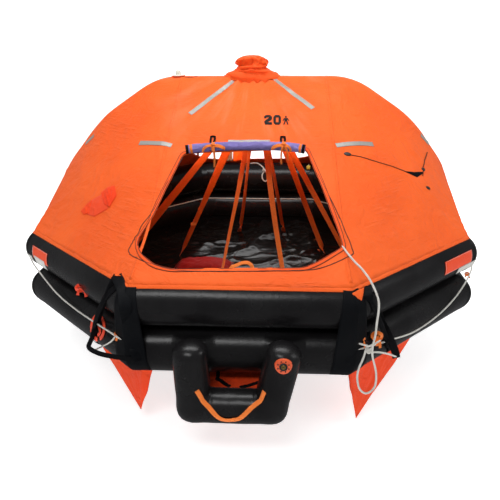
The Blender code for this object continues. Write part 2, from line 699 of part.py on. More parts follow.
for name, side, places in CORNER_STRAPS:
    points, facing = [], []
    for centre_z, step, stand in STRAP_STEPS:
        a = math.radians(TUBE_TURN * step)
        reach = TUBE_R + REST + 0.0024 + stand
        z = centre_z + reach * math.sin(a)
        points.append(ring_point(side, along_at(z, places), reach * math.cos(a), z))
        outward = (ring_point(side, 0, 1, 0) - ring_point(side, 0, 0, 0)).normalized()
        facing.append(outward * math.cos(a) + Vector((0, 0, math.sin(a))))
    webbing("corner_strap_" + name, points, None, 0.045, 0.003, BLACK, facing=facing)

# Blank label patches and line patches near the widest corners
for name, side, start, end, high, low in (("left", 7, -0.64, -0.37, 2, -1), ("right", 1, 0.33, 0.66, 2, -1)):
    band("label_patch_" + name, arc(TUBE_R + 0.0035, high, low, UPPER_Z), arc(TUBE_R + REST, high, low, UPPER_Z),
         [(side, start), (side, end)], WEB_ORANGE, 0.6)
for number, side in enumerate((1, 2, 5, 6), 1):
    band("line_patch_%d" % number, arc(TUBE_R + 0.0035, -1, -3, UPPER_Z), arc(TUBE_R + REST, -1, -3, UPPER_Z),
         [(side, edge_reach - 0.02), (side, "corner"), (side + 1, 0.02 - edge_reach)], WHITE, 0.6)

# Tow patch at the rear with a flat face
TOW_FACE = TUBE_R + 0.014
band("tow_patch", [(TOW_FACE, LOWER_Z + 0.034), (TOW_FACE, LOWER_Z), (TOW_FACE, LOWER_Z - 0.034)],
     arc(TUBE_R + REST, 1, -1, LOWER_Z), [(4, -0.08), (4, 0.08)], BLACK, 0.6)

# Inflation valves on the inner side of the tubes
VALVE = [(0.0001, 0.018), (0.028, 0.018), (0.032, 0.012), (0.045, 0.006), (0.046, 0.0), (0.0001, 0.0)]
for name, z in (("lower_tube_valve", LOWER_Z), ("upper_tube_valve", UPPER_Z)):
    place = ring_point(3, 0.2, -TUBE_R - REST, z)
    turned(name, VALVE, place, ring_point(3, 0, -1, 0) * -1 + Vector((0, 0, 0)), BLACK, 0.4)

# Outer grab lines, one on each side that has no entrance: places along the side and heights
LINE_R = 0.006
PATCH_END = 0.408
LINES = [(1, [(-0.742, 0.215), (-0.56, 0.18), (-0.37, 0.142), (-0.062, 0.09), (0.261, 0.118), (0.508, 0.2),
              (0.662, 0.328), (0.725, PATCH_END)]),
         (2, [(-0.725, PATCH_END), (-0.6, 0.3), (-0.35, 0.2), (0.0, 0.155), (0.35, 0.2), (0.6, 0.3),
              (0.725, PATCH_END)]),
         (3, [(-0.725, PATCH_END), (-0.62, 0.31), (-0.35, 0.2), (0.0, 0.17), (0.35, 0.19), (0.6, 0.22),
              (0.742, 0.235)]),
         (5, [(-0.742, 0.235), (-0.6, 0.22), (-0.35, 0.19), (0.0, 0.17), (0.35, 0.2), (0.62, 0.31),
              (0.725, PATCH_END)]),
         (6, [(-0.725, PATCH_END), (-0.6, 0.3), (-0.35, 0.2), (0.0, 0.155), (0.35, 0.2), (0.6, 0.3),
              (0.725, PATCH_END)]),
         (7, [(-0.725, PATCH_END), (-0.56, 0.36), (-0.263, 0.257), (0.02, 0.229), (0.349, 0.232), (0.6, 0.248),
              (0.742, 0.251)])]


# The line hangs free in front of the tubes and is laid on a patch or a band at its ends
def line_place(side, along, z):
    if z == PATCH_END:
        out = math.sqrt((TUBE_R + 0.0035 + LINE_R - 0.0004) ** 2 - (z - UPPER_Z) ** 2)
    else:
        out = wrap_out(z, LINE_R + 0.0016 + BAND_OUT * (abs(along) > 0.55))
    return ring_point(side, along, out, z)


for side, places in LINES:
    points = [line_place(side, along, z) for along, z in places]
    tube("grab_line_%d" % side, smooth(points, 10), LINE_R, ROPE, 0.8, resolution=2)

# Inner grab line, resting on the lower tube
INNER_Z = LOWER_Z + (TUBE_R + LINE_R + REST) * math.sin(math.radians(45))
INNER_OUT = -(INNER_Z - LOWER_Z)
corner_points = []
for side in range(SIDES):
    for along in (-0.6, 0.0, 0.6):
        corner_points.append(ring_point(side, along, INNER_OUT, INNER_Z))
tube("inner_grab_line", corner_points, LINE_R, ROPE, 0.8, resolution=2, closed=True)

# Rope beside the front entrance, over the canopy edge, down the tubes and up again in a loop
ROPE_R = 0.007
CORNER_WAY = Vector((math.sin(HALF_TURN), -math.cos(HALF_TURN), 0))
CORNER_RUN = Vector((math.cos(HALF_TURN), math.sin(HALF_TURN), 0))
# Reach from the raft's middle, place across the corner, height
ROPE_HANG = [(2.048, 0.122, 0.60), (2.05, 0.135, 0.515), (2.05, 0.129, 0.413), (2.052, 0.125, 0.328),
             (2.056, 0.12, 0.245), (2.06, 0.135, 0.15), (2.06, 0.17, 0.04), (2.058, 0.16, -0.075),
             (2.052, 0.09, -0.122), (2.044, 0.03, -0.066), (2.036, 0.008, 0.065), (2.028, 0.04, 0.175),
             (2.0226, 0.055, 0.25)]
rope_points = [on_panel(0.69, 0.35, -0.0064), on_panel(0.725, 0.277, 0.002), on_panel(0.766, 0.207, 0.01),
               on_panel(0.81, 0.142, 0.02), Vector((0.855, -1.775, 0.683))]
rope_points += [CORNER_WAY * reach + CORNER_RUN * across + Vector((0, 0, z)) for reach, across, z in ROPE_HANG]
tube("front_rope", smooth(rope_points, 30), ROPE_R, ROPE, 0.8, resolution=2)


# Equipment bag on the floor
def bag():
    bm = bmesh.new()
    bmesh.ops.create_cube(bm, size=1.0)
    bmesh.ops.scale(bm, verts=bm.verts, vec=(0.56, 0.37, 0.15))
    bmesh.ops.translate(bm, verts=bm.verts, vec=(-0.44, -0.235, FLOOR_TOP + REST + 0.075))
    mesh = bpy.data.meshes.new("equipment_bag")
    bm.to_mesh(mesh)
    bm.free()
    obj = node("equipment_bag", mesh, MAROON, 0.6)
    soft = obj.modifiers.new("soft", "BEVEL")
    soft.width = 0.045
    soft.segments = 3
    return obj


bag()

# Gas cylinder under the floor, held up by two straps
GAS_Y, GAS_Z, GAS_R, GAS_HALF = 0.85, -0.105, 0.07, 0.32
gas = [(0.0001, GAS_HALF + 0.07), (0.022, GAS_HALF + 0.07), (0.022, GAS_HALF + 0.02), (0.045, GAS_HALF),
       (GAS_R, GAS_HALF - 0.05), (GAS_R, -GAS_HALF + 0.05), (0.045, -GAS_HALF), (0.0001, -GAS_HALF - 0.005)]
turned("gas_cylinder", gas, (0, GAS_Y, GAS_Z), (1, 0, 0), STEEL, 0.35, 0.6, steps=32)
for name, x in (("gas_strap_left", -0.17), ("gas_strap_right", 0.17)):
    low = FLOOR_TOP - FLOOR_THICK - 0.0033
    circles = [(GAS_Y, GAS_Z, GAS_R + REST), (GAS_Y - 0.09, low - 0.0005, 0.0005), (GAS_Y + 0.09, low - 0.0005, 0.0005)]
    belt(name, circles, x, 0.05, 0.003, BLACK, steps=40)
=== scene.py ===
# %% [markdown]
# # A canopied life raft, dressed over its frame
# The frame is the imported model: every solid of the raft in its place, in metres. This lesson builds the
# looks round it: smooth tube skins, a stretched canopy, soft pockets, ropes, webbing and their finishes.
# X runs across the raft, the entrance faces -Y and Z is up.

# %% The frame
from math import acos, atan2, copysign, cos, exp, hypot, pi, radians, sin, sqrt, tan

import bmesh
import bpy
import numpy as np
from mathutils import Matrix, Vector, noise
from mathutils.bvhtree import BVHTree


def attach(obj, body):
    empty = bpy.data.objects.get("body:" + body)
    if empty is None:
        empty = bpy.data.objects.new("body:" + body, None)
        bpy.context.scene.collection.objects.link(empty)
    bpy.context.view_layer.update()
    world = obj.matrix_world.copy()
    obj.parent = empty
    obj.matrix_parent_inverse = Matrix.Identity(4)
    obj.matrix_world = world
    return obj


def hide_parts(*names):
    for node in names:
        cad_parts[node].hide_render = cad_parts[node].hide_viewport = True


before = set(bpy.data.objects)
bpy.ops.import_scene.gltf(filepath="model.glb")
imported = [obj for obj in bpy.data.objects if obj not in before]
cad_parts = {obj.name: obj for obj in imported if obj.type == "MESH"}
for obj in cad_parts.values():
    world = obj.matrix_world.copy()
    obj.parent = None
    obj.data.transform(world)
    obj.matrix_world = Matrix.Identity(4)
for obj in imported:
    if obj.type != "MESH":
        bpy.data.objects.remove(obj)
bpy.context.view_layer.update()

# %% [markdown]
# ## The camera
# The picture was taken from a little above the ridge, five metres in front of it and almost straight on.
# A camera can be aimed with a tracking constraint, but a small roll of the picture is easier to give as
# three directions, so the camera's matrix is built from its right, up and back directions.

# %% Camera
EYE = Vector((0.25691, -5.33732, 2.28255))
FRAME_PX = 500
LENS_PX = 597.0
SENSOR = 36


def placed(name, data):
    obj = bpy.data.objects.new(name, data)
    bpy.context.scene.collection.objects.link(obj)
    return obj


def eye_axes():
    yaw, rise, roll = (radians(a) for a in (2.95, 21.36, -0.276))
    back = Vector((sin(yaw) * cos(rise), -cos(yaw) * cos(rise), sin(rise)))
    level = Vector((cos(yaw), sin(yaw), 0))
    over = back.cross(level)
    right = level * cos(roll) + over * sin(roll)
    return right, back.cross(right), back


RIGHT, UP, BACK = eye_axes()
camera = placed("camera", bpy.data.cameras.new("camera"))
camera.data.sensor_width = SENSOR
camera.data.lens = LENS_PX * SENSOR / FRAME_PX
camera.data.clip_end = 60
camera.matrix_world = Matrix((
    (RIGHT.x, UP.x, BACK.x, EYE.x),
    (RIGHT.y, UP.y, BACK.y, EYE.y),
    (RIGHT.z, UP.z, BACK.z, EYE.z),
    (0, 0, 0, 1)))
bpy.context.scene.camera = camera
print("lens", round(camera.data.lens, 2), "mm")


# Direction in which the eye sees a place of the 500 by 500 picture
def sight(px, py):
    return (RIGHT * (px - FRAME_PX / 2) + UP * (FRAME_PX / 2 - py) - BACK * LENS_PX).normalized()


# %% [markdown]
# ## Sizes that the raft's pieces share
# The raft is an eight-sided ring. Naming a place by its side, the distance along that side, the reach out
# of the tube's middle line and the height keeps every fitting on the tube that carries it.

# %% Ring and tube sizes
SIDES = 8
HALF_TURN = pi / SIDES
CORNER = tan(HALF_TURN)
TUBE_R = 0.178
FACE_CENTRE = 1.68
LOWER_Z = 0.118
UPPER_Z = LOWER_Z + 2 * TUBE_R + 0.0003
FLOOR_TOP = 0.014
REST = 0.0003
SIDE_HALF = FACE_CENTRE * CORNER
TOP = Vector((0, 0, 1))


# Distance along a side of the mitre at its end
def mitre_at(out):
    return (FACE_CENTRE + out) * CORNER


# A place by its side of the ring, the distance along it, the reach out of the tube's middle line and the height
def ring_point(side, along, out, z):
    turn = 2 * HALF_TURN * side - pi / 2
    normal = Vector((cos(turn), sin(turn), 0))
    tangent = Vector((-sin(turn), cos(turn), 0))
    if along == "corner":
        along = mitre_at(out)
    point = normal * (FACE_CENTRE + out) + tangent * along
    return Vector((point.x, point.y, z))


def way_out(side):
    return ring_point(side, 0, 1, 0) - ring_point(side, 0, 0, 0)


# How far out a cloth that wraps both tubes lies at a height
def wrap_out(z, lift):
    reach = TUBE_R + lift
    if LOWER_Z <= z <= UPPER_Z:
        return reach
    drop = z - UPPER_Z if z > UPPER_Z else z - LOWER_Z
    return sqrt(max(0.0, reach ** 2 - drop ** 2))


print("side length", round(2 * SIDE_HALF, 3))


# %% Lines and turns
# A smooth line through a few points
def smooth(points, count):
    pts = [Vector(p) for p in points]
    line = []
    for i in range(count):
        place = i * (len(pts) - 1) / (count - 1)
        span = min(int(place), len(pts) - 2)
        t = place - span
        p1, p2 = pts[span], pts[span + 1]
        p0 = pts[span - 1] if span > 0 else p1 * 2 - p2
        p3 = pts[span + 2] if span + 2 < len(pts) else p2 * 2 - p1
        line.append(0.5 * (2 * p1 + (p2 - p0) * t + (2 * p0 - 5 * p1 + 4 * p2 - p3) * t * t
                           + (3 * p1 - p0 - 3 * p2 + p3) * t ** 3))
    return line


# Angles of one full turn in equal steps
def full_turn(steps):
    return [2 * pi * k / steps for k in range(steps)]


# Level direction at an angle
def spoke(angle):
    return Vector((cos(angle), sin(angle), 0))


# The same place on the front or, mirrored, on the rear half
def mirrored(point, rear):
    return Vector((point[0], -point[1] if rear else point[1], point[2]))


def length_of(points):
    return sum((b - a).length for a, b in zip(points, points[1:]))


# Smooth noise at a place, between about -0.5 and 0.5
def wrinkle(x, y, z):
    return noise.noise(Vector((x, y, z)))


HALVES = (("front", False), ("rear", True))
print("sides", SIDES)

# %% [markdown]
# ## Meshes from rows of points
# Nearly everything on a raft is cloth, webbing or tube, so nearly every piece is a grid: rows of points that
# follow one another. One helper joins rows into a mesh and writes a flat map in metres along and across it,
# so a weave keeps its real scale on every piece.


# %% Grid helper
def grid_mesh(name, rows, round_rows=False, closed=False, caps=False, soft=True):
    across = len(rows[0])
    verts = [tuple(p) for row in rows for p in row]
    pts = np.array(verts).reshape(len(rows), across, 3)
    step_u = np.linalg.norm(np.roll(pts, -1, axis=1) - pts, axis=2)
    step_v = np.linalg.norm(np.roll(pts, -1, axis=0) - pts, axis=2)
    u = np.concatenate([np.zeros(1), np.cumsum(step_u.mean(axis=0))])
    v = np.concatenate([np.zeros(1), np.cumsum(step_v.mean(axis=1))])
    faces, flat = [], []
    for i in range(len(rows) if closed else len(rows) - 1):
        for j in range(across if round_rows else across - 1):
            k, m = (i + 1) % len(rows), (j + 1) % across
            faces.append((i * across + j, i * across + m, k * across + m, k * across + j))
            flat += [(u[j], v[i]), (u[j + 1], v[i]), (u[j + 1], v[i + 1]), (u[j], v[i + 1])]
    if caps:
        faces.append(tuple(range(across))[::-1])
        last = (len(rows) - 1) * across
        faces.append(tuple(range(last, last + across)))
        flat += [(0.0, 0.0)] * (2 * across)
    mesh = bpy.data.meshes.new(name)
    mesh.from_pydata(verts, [], faces)
    layer = mesh.uv_layers.new(name="metres")
    layer.data.foreach_set("uv", [c for pair in flat for c in pair])
    if soft:
        mesh.polygons.foreach_set("use_smooth", [True] * len(mesh.polygons))
    mesh.update()
    return mesh


print("grid helper ready")

# %% Pieces
# Kinds of grid: an open sheet, a tube with both ends closed, an open tube, a ring, and a sheet joined end to end
GRIDS = {"sheet": {}, "tube": {"round_rows": True, "caps": True}, "open": {"round_rows": True},
         "ring": {"round_rows": True, "closed": True}, "loop": {"closed": True}}


# A named piece from rows of points or a ready mesh; it may get a thickness
def piece(name, rows, finish=None, kind="sheet", thick=0.0, offset=-1, body="raft", replaces=None, slot=None):
    mesh = grid_mesh(name, rows, **GRIDS[kind]) if isinstance(rows, list) else rows
    obj = placed(name, mesh)
    if finish:
        obj.data.materials.append(finish)
    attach(obj, body)
    if replaces:
        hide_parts(replaces)
    if thick:
        shell = obj.modifiers.new("thick", "SOLIDIFY")
        shell.thickness = thick
        shell.offset = offset
    return obj


def area_of(obj):
    return sum(p.area for p in obj.data.polygons)


# The mesh of faces that were built one by one
def built_mesh(name, bm):
    mesh = bpy.data.meshes.new(name)
    bm.to_mesh(mesh)
    bm.free()
    return mesh


print("kinds of grid", len(GRIDS))


# %% Tubes, ropes and cords
# Round tube along points; the radius may change from place to place
def tube_rows(points, radius, around=12, start_up=None):
    pts = [Vector(p) for p in points]
    radii = radius if isinstance(radius, list) else [radius] * len(pts)
    up = start_up or Vector((0.13, 0.21, 0.97))
    rows = []
    for i, point in enumerate(pts):
        ahead = (pts[min(i + 1, len(pts) - 1)] - pts[max(i - 1, 0)]).normalized()
        up = (up - ahead * up.dot(ahead)).normalized()
        beside = ahead.cross(up)
        rows.append([point + up * radii[i] * cos(a) + beside * radii[i] * sin(a)
                     for a in full_turn(around)])
    return rows


def rope_piece(name, points, radius, **words):
    ends = [radius * s for s in (0.35, 0.75, 0.96)]
    radii = ends + [radius] * (len(points) - 6) + ends[::-1]
    return piece(name, tube_rows(points, radii), kind="tube", **words)


# A free cord: a rope along its own path, whose length is printed
def cord_piece(name, route, radius, far_end="object", with_pieces=(), **words):
    obj = rope_piece(name, route, radius, **words)
    length_of(route)
    print(name, round(length_of(route), 2), "m")
    return obj


print("rope helpers ready")


# %% [markdown]
# ## The cords
# Off-white braided line hangs in shallow loops round the outside, a rope hangs beside the entrance, and one
# line runs round the inside at ankle height. A curve with a bevel would do, but a tube built ring by ring
# keeps a map along the rope, which the braid needs. They come before everything else.

# %% Grab line routes
LINE_R = 0.006
PATCH_END = 0.408
BAND_OUT = REST + 0.004
PLAIN = [(-0.725, PATCH_END), (-0.6, 0.3), (-0.35, 0.2), (0.0, 0.155), (0.35, 0.2), (0.6, 0.3), (0.725, PATCH_END)]
TO_DOOR = [(-0.725, PATCH_END), (-0.62, 0.31), (-0.35, 0.2), (0.0, 0.17), (0.35, 0.19), (0.6, 0.22), (0.742, 0.235)]
LINES = [(1, [(-0.742, 0.215), (-0.56, 0.18), (-0.37, 0.142), (-0.062, 0.09), (0.261, 0.118), (0.508, 0.2),
              (0.662, 0.328), (0.725, PATCH_END)]),
         (2, PLAIN), (3, TO_DOOR), (5, [(-along, z) for along, z in TO_DOOR[::-1]]), (6, PLAIN),
         (7, [(-0.725, PATCH_END), (-0.56, 0.36), (-0.263, 0.257), (0.02, 0.229), (0.349, 0.232), (0.6, 0.248),
              (0.742, 0.251)])]


def line_place(side, along, z):
    if z == PATCH_END:
        out = sqrt((TUBE_R + 0.0035 + LINE_R - 0.0004) ** 2 - (z - UPPER_Z) ** 2)
    else:
        out = wrap_out(z, LINE_R + 0.0016 + BAND_OUT * (abs(along) > 0.55))
    return ring_point(side, along, out, z)


cords = []
for side, places in LINES:
    route = smooth([line_place(side, along, z) for along, z in places], 40)
    cords.append(cord_piece("line_%d" % side, route, LINE_R, replaces="grab_line_%d" % side, slot="rope"))

# %% Line round the inside
INNER_Z = LOWER_Z + (TUBE_R + LINE_R + REST) * sin(radians(45))
inner_route = []
for side in range(SIDES):
    for along in (-0.6, -0.3, 0.0, 0.3, 0.6):
        sag = 0.004 * cos(along * 2.6)
        inner_route.append(ring_point(side, along, -(INNER_Z - LOWER_Z) - sag * 0.2, INNER_Z))
inner_route = smooth(inner_route + [inner_route[0] + Vector((-0.01, 0.0, 0.004))], 160)
cords.append(cord_piece("inner_line", inner_route, LINE_R, replaces="inner_grab_line", slot="rope"))

# %% [markdown]
# ## How the canopy is cut
# The canopy is pulled from the upper tube's edge up to the arch and wraps round it. Every strip of cloth
# from edge to ridge is a straight pull with a small hollow near its foot. The same rule places the doors,
# the rolls and the tapes, so it is written once as a function of the place round the edge.

# %% Arch and canopy strips
SKIN = 0.004
ARCH_R = 0.098
ARCH_TOP = 1.698
ARCH_SHIFT = 0.035
ARCH_SKIN_R = ARCH_R + 0.0065 + SKIN
EDGE_ANGLE = radians(56.25)
EDGE_REACH = TUBE_R + 0.0011 + SKIN
EDGE_OUT = FACE_CENTRE + EDGE_REACH * cos(EDGE_ANGLE)
EDGE_Z = UPPER_Z + EDGE_REACH * sin(EDGE_ANGLE)
EDGE_HALF = EDGE_OUT * CORNER
ARCH_HALF = [(1.655, 0.62, 0.0), (1.645, 0.93, 0.5), (1.288, 1.376, 1.0), (0.80, ARCH_TOP, 1.0)]
CANOPY_CORNERS = [(-EDGE_OUT, 0.0, 0.012, 0.0, 4), (-EDGE_OUT, -EDGE_HALF, 0.085, 0.012, 14),
                  (-EDGE_HALF, -EDGE_OUT, 0.362, 0.05, 3), (0.0, -EDGE_OUT, 0.5, 0.0, 3),
                  (EDGE_HALF, -EDGE_OUT, 0.638, 0.025, 14), (EDGE_OUT, -EDGE_HALF, 0.915, 0.012, 4),
                  (EDGE_OUT, 0.0, 0.988, 0.0, 1)]


print("canopy corners", len(CANOPY_CORNERS))


# %% Line of the arch
# A bent line with its corners rounded
def rounded(points, radius, steps):
    pts = [Vector(p) for p in points]
    line = [pts[0]]
    for before, corner, after in zip(pts, pts[1:], pts[2:]):
        a = corner + (before - corner).normalized() * radius
        b = corner + (after - corner).normalized() * radius
        for i in range(steps + 1):
            t = i / steps
            line.append(a * (1 - t) ** 2 + corner * 2 * t * (1 - t) + b * t * t)
    line.append(pts[-1])
    return line


ARCH_LINE = rounded([(-x + ARCH_SHIFT * lean, 0, z) for x, z, lean in ARCH_HALF]
                    + [(x + ARCH_SHIFT * lean, 0, z) for x, z, lean in ARCH_HALF[::-1]], 0.16, steps=8)


def along_line(points, share):
    lengths = [(b - a).length for a, b in zip(points, points[1:])]
    want = max(0.0, min(1.0, share)) * sum(lengths)
    for a, b, length in zip(points, points[1:], lengths):
        if want <= length + 1e-9:
            break
        want -= length
    way = (b - a).normalized()
    return a + way * want, Vector((-way.z, 0, way.x))


print("arch", round(length_of(ARCH_LINE), 2), "m long")


# %% One strip of cloth, from the edge to the ridge
def round_arch(centre, way, turn):
    return centre + (way * cos(turn) + Vector((0, -1, 0)) * sin(turn)) * ARCH_SKIN_R


def arch_touch(point, centre, way):
    outward = (point - centre).dot(way)
    forward = centre.y - point.y
    reach = hypot(outward, forward)
    turn = max(0.0, atan2(forward, outward) - acos(min(1.0, ARCH_SKIN_R / reach)))
    return turn, round_arch(centre, way, turn)


RUN_ROWS, TURN_ROWS = 46, 8


# Rows of one strip: foot, hollow, straight run and the turn over the arch
def canopy_strip(base, share, sag):
    centre, way = along_line(ARCH_LINE, share)
    first = arch_touch(base, centre, way)[1]
    inward = (Vector((0, 0, 0.9)) - (base + first) / 2).normalized()
    kink = base.lerp(first, 0.22) + inward * sag
    turn, touch = arch_touch(kink, centre, way)
    mid = base.lerp(kink, 0.5) + inward * sag * 0.12
    strip = []
    for i in range(RUN_ROWS):
        t = i / RUN_ROWS
        if t < 0.11:
            strip.append(base.lerp(mid, t / 0.11))
        elif t < 0.22:
            strip.append(mid.lerp(kink, (t - 0.11) / 0.11))
        else:
            strip.append(kink.lerp(touch, (t - 0.22) / 0.78))
    for i in range(TURN_ROWS + 1):
        strip.append(round_arch(centre, way, turn * (1 - i / TURN_ROWS)))
    return strip


print("rows of a strip", len(canopy_strip(Vector((0, -EDGE_OUT, EDGE_Z)), 0.5, 0.0)))

# %% Flat front panel
middle = canopy_strip(Vector((0, -EDGE_OUT, EDGE_Z)), 0.5, 0.0)
PANEL_FOOT = middle[0]
SLOPE = (middle[RUN_ROWS] - middle[0]).normalized()


# Place on the flat front panel: across and up its slope
def on_panel(x, up, lift=0.0, rear=False):
    point = PANEL_FOOT + SLOPE * up + Vector((0, -SLOPE.z, SLOPE.y)) * lift
    return Vector((x, -point.y if rear else point.y, point.z))


print("panel slope", [round(c, 3) for c in SLOPE])

# %% Rope beside the entrance
ROPE_R = 0.007
CORNER_WAY = Vector((sin(HALF_TURN), -cos(HALF_TURN), 0))
CORNER_RUN = Vector((cos(HALF_TURN), sin(HALF_TURN), 0))
ROPE_HANG = [(2.048, 0.122, 0.60), (2.05, 0.135, 0.515), (2.05, 0.129, 0.413), (2.052, 0.125, 0.328),
             (2.056, 0.108, 0.245), (2.058, 0.112, 0.17), (2.06, 0.148, 0.04), (2.058, 0.148, -0.075),
             (2.052, 0.09, -0.118), (2.044, 0.035, -0.066), (2.036, 0.02, 0.05), (2.031, 0.062, 0.165),
             (2.0226, 0.085, 0.25)]


def beside_entrance(reach, across, z):
    return CORNER_WAY * reach + CORNER_RUN * across + Vector((0, 0, z))


rope_route = [on_panel(0.69, 0.35, -0.0064), on_panel(0.725, 0.277, 0.004), on_panel(0.766, 0.207, 0.011),
              on_panel(0.81, 0.142, 0.02), Vector((0.855, -1.775, 0.683))]
rope_route = smooth(rope_route + [beside_entrance(*place) for place in ROPE_HANG], 120)
cords.append(cord_piece("entrance_rope", rope_route, ROPE_R, "knot", replaces="front_rope", slot="rope"))

# %% [markdown]
# ## Light and floor
# The picture has no set at all: a white room, a broad soft light overhead and a softer one from the front.
# The dark tubes show it best, as pale streaks along their tops, so the lamps are large panels. The raft
# hangs just clear of the floor, because its pockets and ramp reach below the waterline.

# %% Light
def lamp(name, place, aim, size, power):
    data = bpy.data.lights.new(name, "AREA")
    data.shape = "RECTANGLE"
    data.size, data.size_y = size
    data.energy = power
    obj = placed(name, data)
    obj.location = place
    obj.rotation_euler = (Vector(aim) - Vector(place)).to_track_quat("-Z", "Y").to_euler()
    obj.visible_camera = False
    return obj


lamp("overhead", (0.0, -1.0, 5.4), (0, -0.2, 0.4), (5.0, 1.6), 190)
lamp("front", (-1.2, -5.6, 5.2), (0, -1.0, 0.5), (3.0, 1.2), 125)
lamp("right", (5.4, -2.2, 3.0), (0.6, -0.6, 0.5), (1.6, 1.6), 40)
lamp("rear", (0.0, 5.5, 3.6), (0, 0.5, 0.8), (5.0, 2.0), 90)
# Daylight that comes down through the orange cloth; it lights the straps but leaves no glint of its own
THROUGH_CLOTH = [("cloth", (0.05, -0.05, 1.46), (0.05, -0.05, 0), (1.2, 0.4), 17, (1.0, 0.42, 0.2)),
                 ("rear", (0.0, 0.58, 1.2), (0.0, 0.2, 0.0), (1.3, 0.2), 6, (1.0, 0.6, 0.4))]
for label, place, aim, size, power, tint in THROUGH_CLOTH:
    glow = lamp("through_" + label, place, aim, size, power)
    glow.data.color = tint
    glow.visible_glossy = False
print("lamps", len(bpy.data.lights))

# %% White room
world = bpy.data.worlds.new("white_room")
bpy.context.scene.world = world
world.use_nodes = True
room = world.node_tree
room.nodes.clear()
seen_by, choose, world_out = (room.nodes.new("ShaderNode" + kind) for kind in ("LightPath", "MixShader", "OutputWorld"))
white, dim = (room.nodes.new("ShaderNodeBackground") for _ in range(2))
for shade, colour, strength in ((white, (1, 1, 1, 1), 1.0), (dim, (0.97, 0.98, 1, 1), 0.2)):
    shade.inputs[0].default_value = colour
    shade.inputs[1].default_value = strength
for source, target in ((seen_by.outputs["Is Camera Ray"], choose.inputs[0]), (dim.outputs[0], choose.inputs[1]),
                       (white.outputs[0], choose.inputs[2]), (choose.outputs[0], world_out.inputs[0])):
    room.links.new(source, target)
bpy.context.scene.view_settings.view_transform = "Standard"
bpy.context.scene.view_settings.look = "None"
print("room", world.name)

# %% Floor
FLOOR_Z = -0.62
BEND = 3.0
profile = [(-9.0, FLOOR_Z), (5.5, FLOOR_Z)]
profile += [(6.0 + BEND * sin(a), FLOOR_Z + BEND - BEND * cos(a)) for a in
            (radians(degrees) for degrees in range(0, 91, 6))]
profile.append((9.0, 12.0))
sweep = grid_mesh("floor_sweep", [[(x, y, z) for x in (-16.0, 16.0)] for y, z in profile])
backdrop = placed("floor_sweep", sweep)
pale = bpy.data.materials.new("pale_floor")
pale.use_nodes = True
for socket, value in (("Base Color", (0.94, 0.94, 0.94, 1)), ("Roughness", 0.9), ("Emission Color", (1, 1, 1, 1)),
                      ("Emission Strength", 0.72)):
    pale.node_tree.nodes["Principled BSDF"].inputs[socket].default_value = value
sweep.materials.append(pale)
backdrop.visible_glossy = False
print("floor at", FLOOR_Z)

# %% [markdown]
# ## A small language for finishes
# A finish is a formula over the surface. Wiring it node by node hides the formula, so one small class wraps
# a socket and lets Python's own signs add the nodes: `1 - mask` becomes a Math node. Anything that isn't
# arithmetic comes from one method that takes the node's type, its settings and what goes into its sockets.


# %% Socket class
class Socket:
    def __init__(self, tree, output=None):
        self.tree, self.output = tree, output

    def node(self, kind, sockets, out=0, **settings):
        made = self.tree.nodes.new(kind)
        for word, value in settings.items():
            if word == "stops":
                for stop, (place, colour) in zip(made.color_ramp.elements, value):
                    stop.position = place
                    stop.color = colour
            else:
                setattr(made, word, value)
        for place, value in sockets.items():
            if isinstance(value, Socket):
                self.tree.links.new(value.output, made.inputs[place])
            else:
                made.inputs[place].default_value = value
        return Socket(self.tree, made.outputs[out])

    def maths(self, operation, *values):
        return self.node("ShaderNodeMath", dict(enumerate(values)), operation=operation)

    def __add__(self, other):
        return self.maths("ADD", self, other)

    def __sub__(self, other):
        return self.maths("SUBTRACT", self, other)

    def __rsub__(self, other):
        return self.maths("SUBTRACT", other, self)

    def __mul__(self, other):
        return self.maths("MULTIPLY", self, other)

    def __pow__(self, other):
        return self.maths("POWER", self, other)

    __radd__ = __add__
    __rmul__ = __mul__

    def clipped(self, low, high):
        return self.node("ShaderNodeMapRange", {0: self, 1: low, 2: high}, clamp=True)

    def colours(self, low, high):
        return self.node("ShaderNodeMix", {0: self, 6: (*low, 1) if isinstance(low, tuple) else low,
                                           7: (*high, 1) if isinstance(high, tuple) else high},
                         out=2, data_type="RGBA")

    def wave(self):
        return self.maths("SINE", self)


print("socket class ready")


# %% Making a finish
# A new finish: its socket maker, and a function that wires the last values in
def new_finish(name):
    mat = bpy.data.materials.new(name)
    mat.use_nodes = True
    shader = mat.node_tree.nodes["Principled BSDF"]
    make = Socket(mat.node_tree)

    def put(height=None, bump=0.3, reach=0.002, **values):
        for word, value in values.items():
            target = shader.inputs[word.replace("_", " ")]
            if isinstance(value, Socket):
                mat.node_tree.links.new(value.output, target)
            else:
                target.default_value = (*value, 1) if isinstance(value, tuple) else value
        if height is not None:
            lit = make.node("ShaderNodeBump", {"Strength": bump, "Distance": reach, "Height": height})
            mat.node_tree.links.new(lit.output, shader.inputs["Normal"])
        return mat
    return make, put


def place_of(make, kind="Object"):
    return make.node("ShaderNodeTexCoord", {}, out=kind)


def clouds(make, scale, detail=3.0, rough=0.5, where=None, warp=0.0):
    return make.node("ShaderNodeTexNoise", {"Vector": where or place_of(make), "Scale": scale, "Detail": detail,
                                            "Roughness": rough, "Distortion": warp})


# The three numbers of a place; the flat map's first two run along and across the cloth
def parts_of(make, kind="UV"):
    split = make.node("ShaderNodeSeparateXYZ", {0: place_of(make, kind)}).output.node
    return [Socket(make.tree, output) for output in split.outputs]


# Plain weave from the flat map: threads per metre each way
def weave(make, threads):
    u, v, _ = parts_of(make)
    return (u * (threads * pi)).wave() * (v * (threads * pi)).wave()


print("finish helpers ready")
